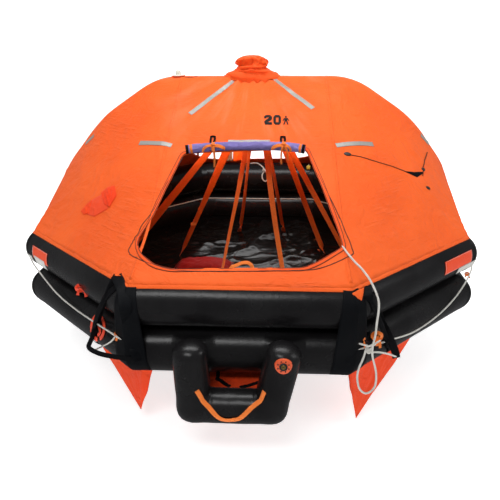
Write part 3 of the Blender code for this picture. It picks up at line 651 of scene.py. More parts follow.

# %% [markdown]
# ## Finishes
# The tubes are rubber-coated cloth: nearly black, half glossy, faintly uneven where the cloth shows through.
# The canopy is a thin coated cloth, strong orange, smoother than the webbing, which has a coarse rib with painted shade
# in its grooves.
# Each finish below mixes a slow colour change, a fine grain in the bump and a little dust or paler crests; the canopy
# also gets painted sheen streaks, and the rope painted shade between its strands.


# %% Black coated rubber
THREADS = 700
GRAIN = 0.015


def rubber(name, base, rough, crinkle=0.35, rub=0.02, gloss=0.16):
    make, put = new_finish(name)
    slow = clouds(make, 2.6, 4.0)
    streak = clouds(make, 9.0, 5.0, 0.6, warp=1.2)
    fine = clouds(make, 900.0, 2.0)
    colour = slow.clipped(0.3, 0.75).colours(base, tuple(c + rub * 0.45 for c in base))
    dusty = (streak.clipped(0.6, 0.85) * rub * 2).colours(colour, (0.08, 0.075, 0.072))
    height = weave(make, THREADS) * GRAIN + fine * GRAIN + streak * crinkle
    return put(height=height, bump=0.5, reach=0.004, Base_Color=dusty, Roughness=rough + slow * 0.16,
               Specular_IOR_Level=gloss)


TUBE_BLACK = rubber("black_rubber_skin", (0.0045, 0.0039, 0.0044), 0.18, crinkle=0.75, gloss=0.28)
BAND_BLACK = rubber("black_band_cloth", (0.0035, 0.004, 0.0052), 0.42, crinkle=0.9, rub=0.008, gloss=0.06)
FLOOR_BLACK = rubber("black_floor_cloth", (0.004, 0.0038, 0.0042), 0.09, crinkle=0.6, rub=0.004, gloss=0.16)
ARCH_BLACK = rubber("black_arch_skin", (0.007, 0.0066, 0.007), 0.3)
print("black finishes 4")


# %% Painted sheen streaks on pulled cloth
# Painted sheen: pale streaks that fan out below the sleeve along the pulled folds, painted into the colour
def painted_fan_sheen(make):
    x, y, z = parts_of(make, "Object")
    down = 1.92 - z
    reach = (x * x + down * down) ** 0.5
    turn = make.maths("ARCTAN2", x, down)
    fanned = make.node("ShaderNodeCombineXYZ", {0: turn * 3.4, 1: reach * 1.1, 2: y * 0.4})
    some = clouds(make, 2.4, 2.0).clipped(0.42, 0.62)
    return clouds(make, 2.1, 4.0, where=fanned).clipped(0.48, 0.74) * (1 - reach.clipped(0.3, 0.95)) * some


# Short level crinkles that come and go over the face; they shape the bump and carry a painted highlight
def level_crinkles(make):
    wide = make.node("ShaderNodeVectorMath", {0: place_of(make), 1: (7.0, 7.0, 75.0)}, operation="MULTIPLY")
    lines = clouds(make, 1.0, 3.0, 0.5, where=wide, warp=0.5).clipped(0.5, 0.72)
    return lines * clouds(make, 1.6, 2.0).clipped(0.5, 0.66)


print("streak helpers ready")


# %% Coated canopy cloth and its kin
CLOTH_THREADS = 900


def coated_cloth(name, base, deep, rough=0.5, creases=0.5, pulled=False):
    make, put = new_finish(name)
    slow = clouds(make, 1.7, 3.0)
    crumple = clouds(make, 14.0, 6.0, 0.62, warp=0.8)
    colour = slow.clipped(0.3, 0.72).colours(base, deep)
    # Paler where the crumple noise, which also shapes the bump, is high
    crest_pale_and_sheen = (crumple.clipped(0.62, 0.86) * 0.25).colours(colour, tuple(min(1.0, c * 1.25 + 0.03) for c in base))
    broad = clouds(make, 4.5, 5.0, 0.55, warp=1.6)
    height = crumple * creases + broad * (creases * 2.5) + weave(make, CLOTH_THREADS) * 0.03
    if pulled:
        streak, level = painted_fan_sheen(make), level_crinkles(make)
        # Painted sheen: pale streaks fanned below the sleeve, and a painted highlight along the level crinkles
        crest_pale_and_sheen = (streak * 0.8).colours(crest_pale_and_sheen, (1.0, 0.27, 0.13))
        crest_pale_and_sheen = (level * 0.25).colours(crest_pale_and_sheen, (1.0, 0.2, 0.07))
        height = height + streak * 0.8 + level * 0.8
    return put(height=height, bump=0.6, reach=0.012, Base_Color=crest_pale_and_sheen, Roughness=rough + crumple * 0.12,
               Specular_IOR_Level=0.2, Sheen_Weight=0.03, Sheen_Roughness=0.4)


CANOPY_CLOTH = coated_cloth("canopy_orange", (1.0, 0.146, 0.02), (0.93, 0.113, 0.013), creases=1.3, pulled=True)
POCKET_CLOTH = coated_cloth("pocket_red_orange", (1.0, 0.088, 0.014), (0.95, 0.055, 0.009), creases=1.6, rough=0.62)
SLEEVE_CLOTH = coated_cloth("sleeve_orange", (1.0, 0.125, 0.016), (0.88, 0.085, 0.01), creases=1.0)
ROLL_CLOTH = coated_cloth("door_lilac", (0.30, 0.25, 0.56), (0.17, 0.135, 0.40), rough=0.7, creases=3.2)
BAG_CLOTH = coated_cloth("bag_maroon", (0.26, 0.009, 0.012), (0.16, 0.005, 0.008), rough=0.68, creases=0.7)
LABEL_CLOTH = coated_cloth("label_red_orange", (1.0, 0.1, 0.03), (0.9, 0.075, 0.02), creases=0.2)
WHITE_CLOTH = coated_cloth("white_patch_cloth", (0.72, 0.71, 0.68), (0.6, 0.59, 0.55), rough=0.6, creases=0.2)
print("cloths 7")


# %% Ribbed webbing
RIB = 0.0022


def ribbed(name, base, deep, rough=0.7, sheen=0.25, gloss=0.35):
    make, put = new_finish(name)
    u, v, _ = parts_of(make)
    rib = (v * (2 * pi / RIB) + (u * (2 * pi / (2 * RIB))).wave() * 1.2).wave()
    edge = clouds(make, 45.0, 4.0)
    # Painted shade: the grooves between the ribs take the deep colour, the crests the base colour
    colour = (rib * 0.5 + 0.5).clipped(0.1, 0.9).colours(deep, base)
    dirty = (edge.clipped(0.55, 0.8) * 0.35).colours(colour, tuple(c * 0.6 for c in deep))
    return put(height=rib * 0.5 + edge * 0.3, bump=0.5, reach=0.0008, Base_Color=dirty,
               Roughness=rough + edge * 0.1, Sheen_Weight=sheen, Sheen_Roughness=0.35, Specular_IOR_Level=gloss)


WEB_ORANGE = ribbed("webbing_orange", (1.0, 0.22, 0.03), (0.88, 0.14, 0.016))
WEB_BLACK = ribbed("webbing_black", (0.007, 0.007, 0.008), (0.003, 0.003, 0.004), rough=0.65, sheen=0.01, gloss=0.08)
TIE_ORANGE = ribbed("tie_tape_orange", (1.0, 0.27, 0.04), (0.85, 0.16, 0.02))
print("webbings 3")


# %% Braided rope
def braided(name, base, deep):
    make, put = new_finish(name)
    u, v, _ = parts_of(make)
    one = (v * 700.0 + u * 500.0).wave()
    two = (v * 700.0 - u * 500.0).wave()
    strands = one.maths("MAXIMUM", one, two)
    grime = clouds(make, 30.0, 4.0)
    # Painted shade: the deep colour lies in the grooves between the strands, the base colour on them
    colour = strands.clipped(-0.2, 0.9).colours(deep, base)
    soiled = (grime.clipped(0.5, 0.8) * 0.5).colours(colour, (0.42, 0.38, 0.31))
    return put(height=strands, bump=0.6, reach=0.0012, Base_Color=soiled, Roughness=0.75 + grime * 0.1,
               Sheen_Weight=0.2, Sheen_Roughness=0.5)


ROPE_WHITE = braided("rope_off_white", (0.78, 0.76, 0.71), (0.5, 0.48, 0.43))
for cord in cords:
    cord.data.materials.append(ROPE_WHITE)
print("cords with rope finish", len(cords))


# %% Metals, plastics and tape
def hard(name, base, deep, rough, metal=0.0, coat=0.0):
    make, put = new_finish(name)
    slow = clouds(make, 18.0, 4.0)
    fine = clouds(make, 260.0, 3.0, warp=0.4)
    colour = slow.clipped(0.35, 0.7).colours(base, deep)
    return put(height=fine * 0.5 + slow * 0.2, bump=0.12, reach=0.001, Base_Color=colour,
               Roughness=rough + fine * 0.14, Metallic=metal, Coat_Weight=coat)


STEEL = hard("brushed_steel", (0.55, 0.55, 0.54), (0.42, 0.42, 0.42), 0.28, metal=1.0)
BRASS = hard("worn_brass", (0.62, 0.44, 0.16), (0.42, 0.28, 0.09), 0.3, metal=1.0)
VALVE_ORANGE = hard("valve_orange_rubber", (0.85, 0.115, 0.025), (0.7, 0.08, 0.02), 0.45)
VALVE_BLACK = hard("valve_black_plastic", (0.014, 0.014, 0.015), (0.022, 0.022, 0.022), 0.38)
LAMP_PLASTIC = hard("lamp_clear_plastic", (0.78, 0.76, 0.66), (0.66, 0.63, 0.52), 0.22, coat=0.3)
RING_RED = hard("ring_red_plastic", (1.0, 0.085, 0.03), (0.85, 0.06, 0.02), 0.45)
GREY_PAINT = hard("cylinder_grey_paint", (0.33, 0.34, 0.33), (0.26, 0.27, 0.26), 0.4, metal=0.2)
# Partly painted shadow: this dark colour is partly the thread's own, partly shadow along the raised edges of the door
# flaps and panel
PIPING_AND_SHADOW = hard("dark_piping_and_shadow", (0.055, 0.013, 0.009), (0.025, 0.008, 0.007), 0.65)
YELLOW = hard("yellow_plastic", (0.85, 0.7, 0.1), (0.7, 0.55, 0.07), 0.4)
BLACK_PAINT = hard("black_paint", (0.006, 0.005, 0.005), (0.012, 0.01, 0.01), 0.8)
print("hard finishes 10")


# %% Reflective tape
def tape_finish():
    make, put = new_finish("reflective_tape")
    cells = make.node("ShaderNodeTexVoronoi", {"Vector": place_of(make), "Scale": 120.0},
                      feature="DISTANCE_TO_EDGE")
    dull = clouds(make, 8.0, 3.0)
    colour = cells.clipped(0.0, 0.12).colours((0.3, 0.29, 0.265), (0.4, 0.39, 0.36))
    return put(height=cells, bump=0.1, reach=0.0008,
               Base_Color=(dull.clipped(0.45, 0.8) * 0.4).colours(colour, (0.5, 0.47, 0.42)),
               Roughness=0.35 + dull * 0.2, Metallic=0.25)


GREY_TAPE = tape_finish()
print("finishes", len(bpy.data.materials))

# %% [markdown]
# ## The buoyancy tubes
# Two rings of rubber-coated cloth, glued from eight straight lengths that meet in mitres. Blown up, the
# lengths are round, and near each mitre the cloth puckers along the inner side and bulges a little on the
# outer one. The ring is one grid: sections along the eight sides, with shallow dents near the corners.


# %% Tube skins
def pucker(side, angle, along, seed):
    near = exp(-((SIDE_HALF - abs(along)) / 0.07) ** 2)
    inner = 0.5 - 0.5 * cos(angle)
    ripple = wrinkle(cos(angle) * 4, sin(angle) * 4, side * 3.1 + seed)
    fold = sin(angle * 16 + 3 * ripple) * 0.0012 * near * inner
    slack = wrinkle(along * 2.2 + side * 5, cos(angle) * 1.6 + seed, sin(angle) * 1.6)
    return fold - 0.0016 * near * inner + 0.0011 * slack - 0.0012


def tube_skin(name, z, seed):
    rows = []
    for side in range(SIDES):
        for i in range(28):
            t = -1 + 2 * i / 28
            t = copysign(abs(t) ** 0.8, t)
            ring = []
            for a in full_turn(72):
                r = TUBE_R + pucker(side, a, t * SIDE_HALF, seed)
                out = r * cos(a)
                ring.append(ring_point(side, t * mitre_at(out), out, z + r * sin(a)))
            rows.append(ring)
    return piece(name + "_skin", rows, TUBE_BLACK, "ring", replaces=name, slot="black_rubber")


lower_skin = tube_skin("lower_tube", LOWER_Z, 1.7)
upper_skin = tube_skin("upper_tube", UPPER_Z, 8.4)
print("tube skins", len(upper_skin.data.polygons), "faces each")

# %% [markdown]
# Each mitre is covered by a strip of the same cloth, glued over the joint. It shows as a faint ridge, so a
# thin strip follows the tube's own corner all the way round.


# %% Seam tapes at the mitres
SEAM_HALF = 0.03


def seam_tape(name, side, z, start, end):
    rows = []
    for k in range(56):
        a = radians(start + (end - start) * k / 55)
        r = TUBE_R + 0.0012
        out = r * cos(a)
        mitre = mitre_at(out)
        sunk = (out - 0.0012 * cos(a), z + (r - 0.0016) * sin(a))
        flat = (out, z + r * sin(a))
        proud = (out + 0.0004 * cos(a), z + (r + 0.0004) * sin(a))
        rows.append([ring_point(side, mitre - SEAM_HALF - 0.002, *sunk), ring_point(side, mitre - SEAM_HALF, *flat),
                     ring_point(side, "corner", *proud), ring_point(side + 1, -mitre + SEAM_HALF, *flat),
                     ring_point(side + 1, -mitre + SEAM_HALF + 0.002, *sunk)])
    return piece(name, rows, TUBE_BLACK, slot="black_rubber")


for side in range(SIDES):
    for label, z, low, high in (("upper", UPPER_Z, -86, 266), ("lower", LOWER_Z, -266, 86)):
        seam_tape("seam_tape_%s_%d" % (label, side), side, z, low, high)
print("seam tapes", 2 * SIDES)

# %% [markdown]
# ## Laying things on cloth
# Tapes, patches and marks are glued to a surface that is already curved. They are drawn flat between two
# edges and then laid down: every point of the strip is moved to the nearest place of the surface below and
# lifted off it by the strip's own thickness.


# %% Laying helper
def surface_of(*objs):
    verts, faces = [], []
    for obj in objs:
        faces += [tuple(len(verts) + k for k in p.vertices) for p in obj.data.polygons]
        verts += [obj.matrix_world @ v.co for v in obj.data.vertices]
    return BVHTree.FromPolygons(verts, faces)


def resample(points, count):
    pts = [Vector(p) for p in points]
    total = length_of(pts)
    line = []
    for i in range(count):
        want = total * i / (count - 1)
        walked = 0.0
        for a, b in zip(pts, pts[1:]):
            step = (b - a).length
            if walked + step >= want - 1e-9:
                break
            walked += step
        line.append(a.lerp(b, min(1.0, (want - walked) / max(step, 1e-9))))
    return line


# Where the eye's ray through a place of the picture meets a surface
def seen(px, py, surface):
    return surface.ray_cast(EYE, sight(px, py))[0]


print("surface helpers ready")


# %% Strips laid on a surface
# Points moved down on the surface; up is the side from which the strip lies on it
def lay_down(rows, surface, lift, up=None):
    laid = []
    for row in rows:
        hits = [surface.find_nearest(p)[:2] for p in row]
        laid.append([hit + (-normal if up and normal.dot(up) < 0 else normal) * lift for hit, normal in hits])
    return laid


def laid_strip(name, one, two, surface, finish, lift=0.0015, thick=0.0012, along=24, across=5, up=None, **words):
    first, second = resample(one, along), resample(two, along)
    rows = [[a.lerp(b, k / (across - 1)) for k in range(across)] for a, b in zip(first, second)]
    return piece(name, lay_down(rows, surface, lift, up), finish, thick=thick, offset=0, **words)


# A tape between two places, given by its width
def laid_tape(name, start, end, width, surface, finish, **words):
    start, end = Vector(start), Vector(end)
    normal = surface.find_nearest((start + end) / 2)[1]
    beside = (end - start).cross(normal).normalized() * width / 2
    return laid_strip(name, [start + beside, end + beside], [start - beside, end - beside], surface, finish,
                      **words)


print("strip helpers ready")

# %% [markdown]
# ## The canopy
# One skin of coated cloth, stretched from the tube to the arch. Cloth under tension has long shallow folds
# that run from the points that pull it: from the gathered sleeve on the ridge, and along the edge below the
# door, where the cloth is slack. The grid follows the pull, and each point is moved in or out by the sum of
# those folds. Then it is given its thickness and the doors are cut, as the sewing loft does.

# %% Folds of the canopy
SLEEVE_X = 0.008


def fold_height(p, mirror):
    slow = wrinkle(p.x * 1.3, p.y * 1.3, p.z * 1.3 + 4 * mirror)
    # Folds that fan out below the sleeve
    dx, down = p.x - SLEEVE_X, 1.83 - p.z
    near = exp(-(hypot(dx, down * 1.1) / 0.4) ** 2)
    fan = sin(atan2(dx, down + 0.05) * 15 + 2.2 * wrinkle(p.x * 5, p.z * 5, 2.0 * mirror))
    # Slack wrinkles that run level along the foot
    foot = exp(-((p.z - 0.70) / 0.055) ** 2)
    level = sin((p.z - 0.6) * 150 + 4.2 * wrinkle(p.x * 2.5, p.y * 2.5, 1.0))
    level *= 0.5 + 0.5 * wrinkle(p.x * 4.1, p.y * 4.1, 7.0)
    # Long creases down the side slopes
    crease = wrinkle(p.x * 2.4 + p.z * 1.3, p.y * 2.4, p.z * 0.9 + 9 * mirror)
    crease = max(0.0, 0.16 - abs(crease)) / 0.16
    small = wrinkle(p.x * 8, p.y * 8, p.z * 8)
    return 0.006 * slow + 0.011 * near * fan + 0.005 * foot * level + 0.005 * crease + 0.0022 * small


print("fold below the sleeve", round(fold_height(Vector((SLEEVE_X, 0, 1.7)), 1) * 1000, 2), "mm")

# %% Rows of the canopy
FINE = 6


def canopy_grid(mirror):
    stations = []
    for here, ahead in zip(CANOPY_CORNERS, CANOPY_CORNERS[1:]):
        count = here[4] * FINE
        stations += [[a + (b - a) * i / count for a, b in zip(here, ahead)] for i in range(count)]
    columns = [[mirrored(p, mirror < 0) for p in canopy_strip(Vector((x, y, EDGE_Z)), share, sag)]
               for x, y, share, sag, _ in stations + [CANOPY_CORNERS[-1]]]
    pts = np.array([[tuple(p) for p in column] for column in columns])
    normal = np.cross(np.gradient(pts, axis=0), np.gradient(pts, axis=1))
    size = np.linalg.norm(normal, axis=2, keepdims=True)
    normal = normal / np.maximum(size, 1e-9) * (1 if mirror > 0 else -1)
    rows = pts.shape[1]
    for i, column in enumerate(columns):
        for j, p in enumerate(column):
            if size[i][j][0] >= 1e-7:
                held = min(1.0, j / 3.0) * min(1.0, (rows - 1 - j) / 6.0) * min(1.0, i / 3.0 + 0.3)
                column[j] = p + Vector(normal[i][j]) * fold_height(p, mirror) * held
    return columns


print("columns a side", sum(corner[4] for corner in CANOPY_CORNERS) * FINE)


# %% Canopy skin
CELL = (0.02, 0.022)


def canopy_shell():
    bm = bmesh.new()
    layer = bm.loops.layers.uv.new("metres")
    for mirror in (1, -1):
        columns = canopy_grid(mirror)
        grid = [[bm.verts.new(p) for p in column] for column in columns]
        for i in range(len(grid) - 1):
            for j in range(len(grid[0]) - 1):
                face = bm.faces.new((grid[i][j], grid[i + 1][j], grid[i + 1][j + 1], grid[i][j + 1]))
                face.smooth = True
                for loop, (u, v) in zip(face.loops, ((i, j), (i + 1, j), (i + 1, j + 1), (i, j + 1))):
                    loop[layer].uv = (u * CELL[0], v * CELL[1])
    bmesh.ops.remove_doubles(bm, verts=bm.verts, dist=0.0002)
    bmesh.ops.recalc_face_normals(bm, faces=bm.faces)
    if sum(f.normal.z for f in bm.faces) < 0:
        bmesh.ops.reverse_faces(bm, faces=bm.faces)
    return built_mesh("canopy_skin", bm)


canopy = piece("canopy_skin", canopy_shell(), CANOPY_CLOTH, replaces="canopy", slot="canopy_cloth")
CANOPY_TOP_SIDE = surface_of(canopy)
print("canopy", len(canopy.data.polygons), "faces before the doors are cut")

# %% [markdown]
# The door is cut as one loop, a little rounded at its corners, and its raw edge is bound with a narrow
# orange tape and a dark thread line. A second sewn line lies well outside it, where the door's reinforcing
# panel ends. The dark lines are partly thread and partly painted shadow along the raised edges.

# %% Doors
DOOR = [(-0.455, 0.141), (-0.59, 0.176), (-0.705, 0.286), (-0.745, 0.373), (-0.744, 0.443), (-0.655, 0.587),
        (-0.605, 0.78), (-0.488, 1.206), (0.454, 1.256), (0.56, 0.901), (0.671, 0.478), (0.697, 0.343),
        (0.53, 0.222), (0.423, 0.163)]
ROLL_R = 0.036
ROLL = [(-0.467, 1.206), (-0.383, 1.221), (-0.245, 1.238), (-0.013, 1.248), (0.256, 1.247), (0.371, 1.232),
        (0.447, 1.217)]


def door_loop(rear, lift, grow=0.0, count=6):
    loop = []
    centre = Vector((-0.02, 0.7))
    pts = [Vector(p) + (Vector(p) - centre).normalized() * grow for p in DOOR]
    for before, corner, after in zip(pts[-1:] + pts[:-1], pts, pts[1:] + pts[:1]):
        a = corner.lerp(before, min(0.35, 0.045 / (before - corner).length))
        b = corner.lerp(after, min(0.35, 0.045 / (after - corner).length))
        for i in range(count):
            t = i / (count - 1)
            flat = a * (1 - t) ** 2 + corner * 2 * t * (1 - t) + b * t * t
            loop.append(on_panel(flat.x, flat.y, lift, rear))
    return loop


print("door", len(DOOR), "corners")


# %% Door cutter
def loft_closed(name, rings):
    bm = bmesh.new()
    rows = [[bm.verts.new(p) for p in ring] for ring in rings]
    for low, high in zip(rows, rows[1:]):
        for i in range(len(low)):
            j = (i + 1) % len(low)
            bm.faces.new((low[i], low[j], high[j], high[i]))
    bm.faces.new(rows[0][::-1])
    bm.faces.new(rows[-1])
    bmesh.ops.recalc_face_normals(bm, faces=bm.faces)
    return built_mesh(name, bm)


# An object's mesh with its modifiers worked in
def worked_mesh(obj):
    graph = bpy.context.evaluated_depsgraph_get()
    mesh = bpy.data.meshes.new_from_object(obj.evaluated_get(graph))
    obj.modifiers.clear()
    return mesh


print("cutter ready")

# %% Cutting the doors
shell = canopy.modifiers.new("cloth", "SOLIDIFY")
shell.thickness = SKIN
shell.offset = -1
tools = []
for _, rear in HALVES:
    tool = placed("door_cutter", loft_closed("door_cutter", [door_loop(rear, -0.09), door_loop(rear, 0.06)]))
    mod = canopy.modifiers.new("door", "BOOLEAN")
    mod.operation = "DIFFERENCE"
    mod.solver = "EXACT"
    mod.object = tool
    tools.append(tool)
bpy.context.view_layer.update()
canopy.data = worked_mesh(canopy)
for tool in tools:
    bpy.data.objects.remove(tool, do_unlink=True)
print("canopy", len(canopy.data.polygons), "faces with its doors")

# %% Door bindings
for label, rear in HALVES:
    loop, outer = door_loop(rear, 0.0, 0.0, 8), door_loop(rear, 0.0, 0.03, 8)
    rows = lay_down([[a.lerp(b, k / 3) for k in range(4)] for a, b in zip(loop, outer)], CANOPY_TOP_SIDE, 0.0014)
    piece("door_binding_" + label, rows, SLEEVE_CLOTH, "loop", thick=0.002)
    # The dark thread lines are partly thread, partly painted shadow along the door's raised edge
    for number, grow in enumerate((0.004, 0.031)):
        ring = [row[0] for row in lay_down([[p] for p in door_loop(rear, 0.0, grow, 8)], CANOPY_TOP_SIDE, 0.0024)]
        piece("door_thread_%s_%d" % (label, number), tube_rows(ring, 0.0028 - 0.0006 * number, around=6), PIPING_AND_SHADOW,
              "ring")
print("door bindings 2")

# %% [markdown]
# ## The arch
# Under the ridge stands a third, thinner tube that holds the canopy up. It is seen through the doors, so it
# gets a round skin of its own, a little uneven like the others.

# %% Arch skin
arch_path = resample(ARCH_LINE, 110)
arch_radii = [ARCH_R - 0.001 + 0.0008 * noise.noise(p * 5) for p in arch_path]
arch_skin = piece("arch_skin", tube_rows(arch_path, arch_radii, around=48, start_up=Vector((0, 1, 0))), ARCH_BLACK,
                  "open", replaces="arch_tube", slot="black_rubber")
print("arch skin", len(arch_skin.data.polygons), "faces")

# %% [markdown]
# ## The floor
# The floor is a double sheet of the same black cloth, not blown up here, so it lies in deep soft folds. A
# grid that narrows with the eight sides is lifted by ridged noise: sharp crests with round hollows between
# them, which is how stiff coated cloth crumples.


# %% Wrinkled floor
def crumple(p, scale, seed):
    total, gain, size = 0.0, 1.0, scale
    for octave in range(4):
        ridge = 1.0 - abs(wrinkle(p.x * size, p.y * size, seed + octave * 3.7)) * 2.6
        total += max(0.0, ridge) ** 2 * gain
        gain *= 0.48
        size *= 2.05
    return total


def floor_height(x, y):
    edge = max(abs(x), abs(y), (abs(x) + abs(y)) * 0.7071)
    hold = min(1.0, max(0.0, (1.5 - edge) / 0.16))
    return FLOOR_TOP - 0.012 + 0.024 * crumple(Vector((x, y, 0)), 1.7, 4.0) * (0.35 + 0.65 * hold)


print("floor in the middle", round(floor_height(0, 0), 4))

# %% Floor cloth
FLOOR_REACH = 1.53
floor_rows = []
for i in range(150):
    y = FLOOR_REACH * (-1 + 2 * i / 149)
    half = min(FLOOR_REACH, FLOOR_REACH * 1.41421 - abs(y))
    across = [half * (-1 + 2 * k / 149) for k in range(150)]
    floor_rows.append([Vector((x, y, floor_height(x, y))) for x in across])
floor = piece("floor_cloth", floor_rows, FLOOR_BLACK, thick=0.02, offset=1, replaces="floor", slot="black_rubber")
FLOOR_SIDE = surface_of(floor)
print("floor cloth", round(area_of(floor), 2), "m2")

# %% [markdown]
# ## Webbing
# Straps are flat ribbon, thicker in the middle than at the edges. Each is swept along its route with the
# direction that its flat face looks in, so it can twist between two fixings.


# %% Webbing helper
def web_rows(points, facing, width, thick):
    pts = [Vector(p) for p in points]
    section = [(-1, 0), (-0.93, 0.5), (-0.4, 0.56), (0.4, 0.56), (0.93, 0.5), (1, 0), (0.93, -0.5), (0.4, -0.56),
               (-0.4, -0.56), (-0.93, -0.5)]
    rows = []
    for i, point in enumerate(pts):
        ahead = (pts[min(i + 1, len(pts) - 1)] - pts[max(i - 1, 0)]).normalized()
        face = facing[i] if isinstance(facing, list) else Vector(facing)
        wide = face.cross(ahead).normalized()
        deep = ahead.cross(wide).normalized()
        half = width[i] / 2 if isinstance(width, list) else width / 2
        rows.append([point + wide * half * a + deep * thick * b for a, b in section])
    return rows


def web(name, points, facing, width, thick, finish, **words):
    return piece(name, web_rows(points, facing, width, thick), finish, "tube", **words)


# Directions of a ribbon's face that swing to and fro along it
def swinging(face, swing, rate, start, count, axis="Z"):
    return [Matrix.Rotation(swing * sin(k * rate + start), 3, axis) @ face for k in range(count)]


# A band closed on itself round circles in a plane across X
def belt_rows(circles, x, width, thick):
    rows = []
    for a in full_turn(96):
        way = (cos(a), sin(a))
        best = max(circles, key=lambda c: c[0] * way[0] + c[1] * way[1] + c[2])
        row = []
        for dx, out in ((-0.5, 0.3), (-0.46, 1), (0.46, 1), (0.5, 0.3), (0.46, 0), (-0.46, 0)):
            r = best[2] + thick * out
            row.append(Vector((x + dx * width, best[0] + r * way[0], best[1] + r * way[1])))
        rows.append(row)
    return rows


print("webbing helper ready")

# %% [markdown]
# ## Lifting ring and straps
# A steel ring hangs in two slings under the arch, and eight orange straps run from it to patches on the
# floor. The picture looks straight through them, some face on and some nearly edge on, so each has its own
# twist and a little belly.

# %% Lifting ring and slings
LIFT_X, LIFT_R, LIFT_Z, ROD_R = 0.05, 0.11, 1.56, 0.008
LIFT_AT = Vector((LIFT_X, 0, LIFT_Z))
ring_rows = []
for a in full_turn(72):
    out = spoke(a)
    ring_rows.append([LIFT_AT + out * (LIFT_R + ROD_R * cos(b)) + TOP * ROD_R * sin(b)
                      for b in full_turn(16)])
piece("lifting_ring", ring_rows, STEEL, "ring", replaces="lift_ring", slot="steel")
for name, offset in (("arch_sling_left", -0.075), ("arch_sling_right", 0.075)):
    y = sqrt(LIFT_R ** 2 - offset ** 2) + 0.0165
    circles = [(0, ARCH_TOP, ARCH_R + 0.0008), (-y, LIFT_Z, ROD_R + 0.0004), (y, LIFT_Z, ROD_R + 0.0004)]
    piece(name + "_web", belt_rows(circles, LIFT_X + offset, 0.028, 0.003), WEB_ORANGE, "ring", replaces=name,
          slot="webbing")
print("ring and slings 3")

# %% Lifting straps
# Name, place round the ring in degrees, foot across and along, width at the top and the foot,
# turn away from the entrance at the top, the middle and the foot in degrees, belly
STRAPS = [("a", 193, (-1.37, -0.50), 0.06, 0.066, (25, 5, 0), 0.012),
          ("b", 167, (-0.75, 0.22), 0.1, 0.05, (0, 10, 35), 0.02),
          ("c", 252, (-0.26, -1.02), 0.05, 0.045, (0, 45, 75), 0.008),
          ("d", 98, (-0.19, 1.0), 0.05, 0.045, (40, 50, 20), 0.03),
          ("e", 286, (0.35, -1.05), 0.05, 0.045, (0, 20, 55), 0.012),
          ("f", 74, (0.32, 1.02), 0.05, 0.045, (30, 50, 30), 0.03),
          ("g", 13, (0.73, 0.34), 0.06, 0.05, (0, 15, 30), 0.012),
          ("h", 347, (1.01, -0.43), 0.06, 0.045, (0, 25, 60), 0.012)]
STRAP_THICK = 0.0026
WRAP_R = ROD_R + 0.0035
TO_ENTRANCE = Vector((0.05, -0.93, 0.36))


def on_ground(point, lift):
    return Vector((point.x, point.y, floor_height(point.x, point.y) + lift))


# Middle line, facing and widths of a strap from the ring's rod to its foot
def strap_run(rod, top, foot, across, wide_top, wide_foot, turns, belly):
    side = across.cross(foot - top).normalized()
    flat_face = side if side.z > 0 else -side
    run, faces, widths = [], [], []
    for i in range(60):
        t = i / 59
        point = rod.lerp(foot, t) + Vector((0, 0, -belly * 4 * t * (1 - t)))
        run.append(point + across * 0.006 * sin(t * 7 + foot.x * 3))
        angle = turns[0] + (turns[1] - turns[0]) * min(1, 2 * t) + (turns[2] - turns[1]) * max(0, 2 * t - 1)
        seen_face = Matrix.Rotation(radians(angle), 3, (foot - top).normalized()) @ TO_ENTRANCE
        faces.append(seen_face.lerp(flat_face, max(0.0, t - 0.9) / 0.1).normalized())
        widths.append(wide_top + (wide_foot - wide_top) * min(1.0, t * 1.6))
    return run, faces, widths


print("straps to lay", len(STRAPS))

# %% Lifting straps in place
for letter, place, foot_at, wide_top, wide_foot, turns, belly in STRAPS:
    a = radians(place)
    out = spoke(a)
    top = LIFT_AT + out * LIFT_R
    foot = on_ground(Vector((*foot_at, 0)), 0.003)
    along = Vector((foot.x - top.x, foot.y - top.y, 0)).normalized()
    across = Vector((-along.y, along.x, 0))
    run, faces, widths = strap_run(top - out * WRAP_R, top, foot, across, wide_top, wide_foot, turns, belly)
    tail = [on_ground(foot + along * s, 0.003) for s in (0.012, 0.03, 0.06, 0.09, 0.115)]
    web("lifting_strap_" + letter, run + tail, faces + [TOP] * 5, widths + [wide_foot] * 5, STRAP_THICK, WEB_ORANGE,
        replaces="lift_strap_" + letter, slot="webbing")
    # Turn of the strap over the ring, sewn down below it
    wrap = [top + (out * cos(b) + TOP * sin(b)) * WRAP_R for b in (radians(d) for d in range(200, -21, -20))]
    web("strap_turn_" + letter, wrap, [(p - top).normalized() for p in wrap], 0.045, STRAP_THICK, WEB_ORANGE)
    # Square patch under the foot
    base = foot + along * 0.05
    rows = [[on_ground(base + along * 0.085 * u + across * 0.06 * v, 0.0012) for v in (-1, -0.5, 0, 0.5, 1)]
            for u in (-1, -0.6, -0.2, 0.2, 0.6, 1)]
    piece("floor_patch_" + letter, rows, BAND_BLACK, thick=0.0015)
print("lifting straps", len(STRAPS))

# %% [markdown]
# ## The boarding ramp
# The ramp is one tube bent into a square U. It is made of glued lengths, so it is round everywhere and
# crinkles a little on the inner side of each elbow. It is lofted ring by ring from the same leg lines and
# elbows as its solid, with more rings, and it rides on the ramp body, since it swings.

# %% Legs of the ramp
RAMP_R, RAMP_Y = 0.12, -1.985
RAMP_TOP_Z, RAMP_LOW_Z = 0.25, -0.155
RAMP_DOME, RAMP_INNER = 0.08, 0.012
RAMP_TOPS, RAMP_LOWS = (-0.312, 0.30), (-0.296, 0.215)
RAMP_SIDES = 64


def leg_axis(side):
    top = Vector((RAMP_TOPS[side], RAMP_Y, RAMP_TOP_Z))
    low = Vector((RAMP_LOWS[side], RAMP_Y, RAMP_LOW_Z))
    down = (low - top).normalized()
    outer = Vector((-1 if side == 0 else 1, 0, 0))
    return top, down, (outer - down * outer.dot(down)).normalized()


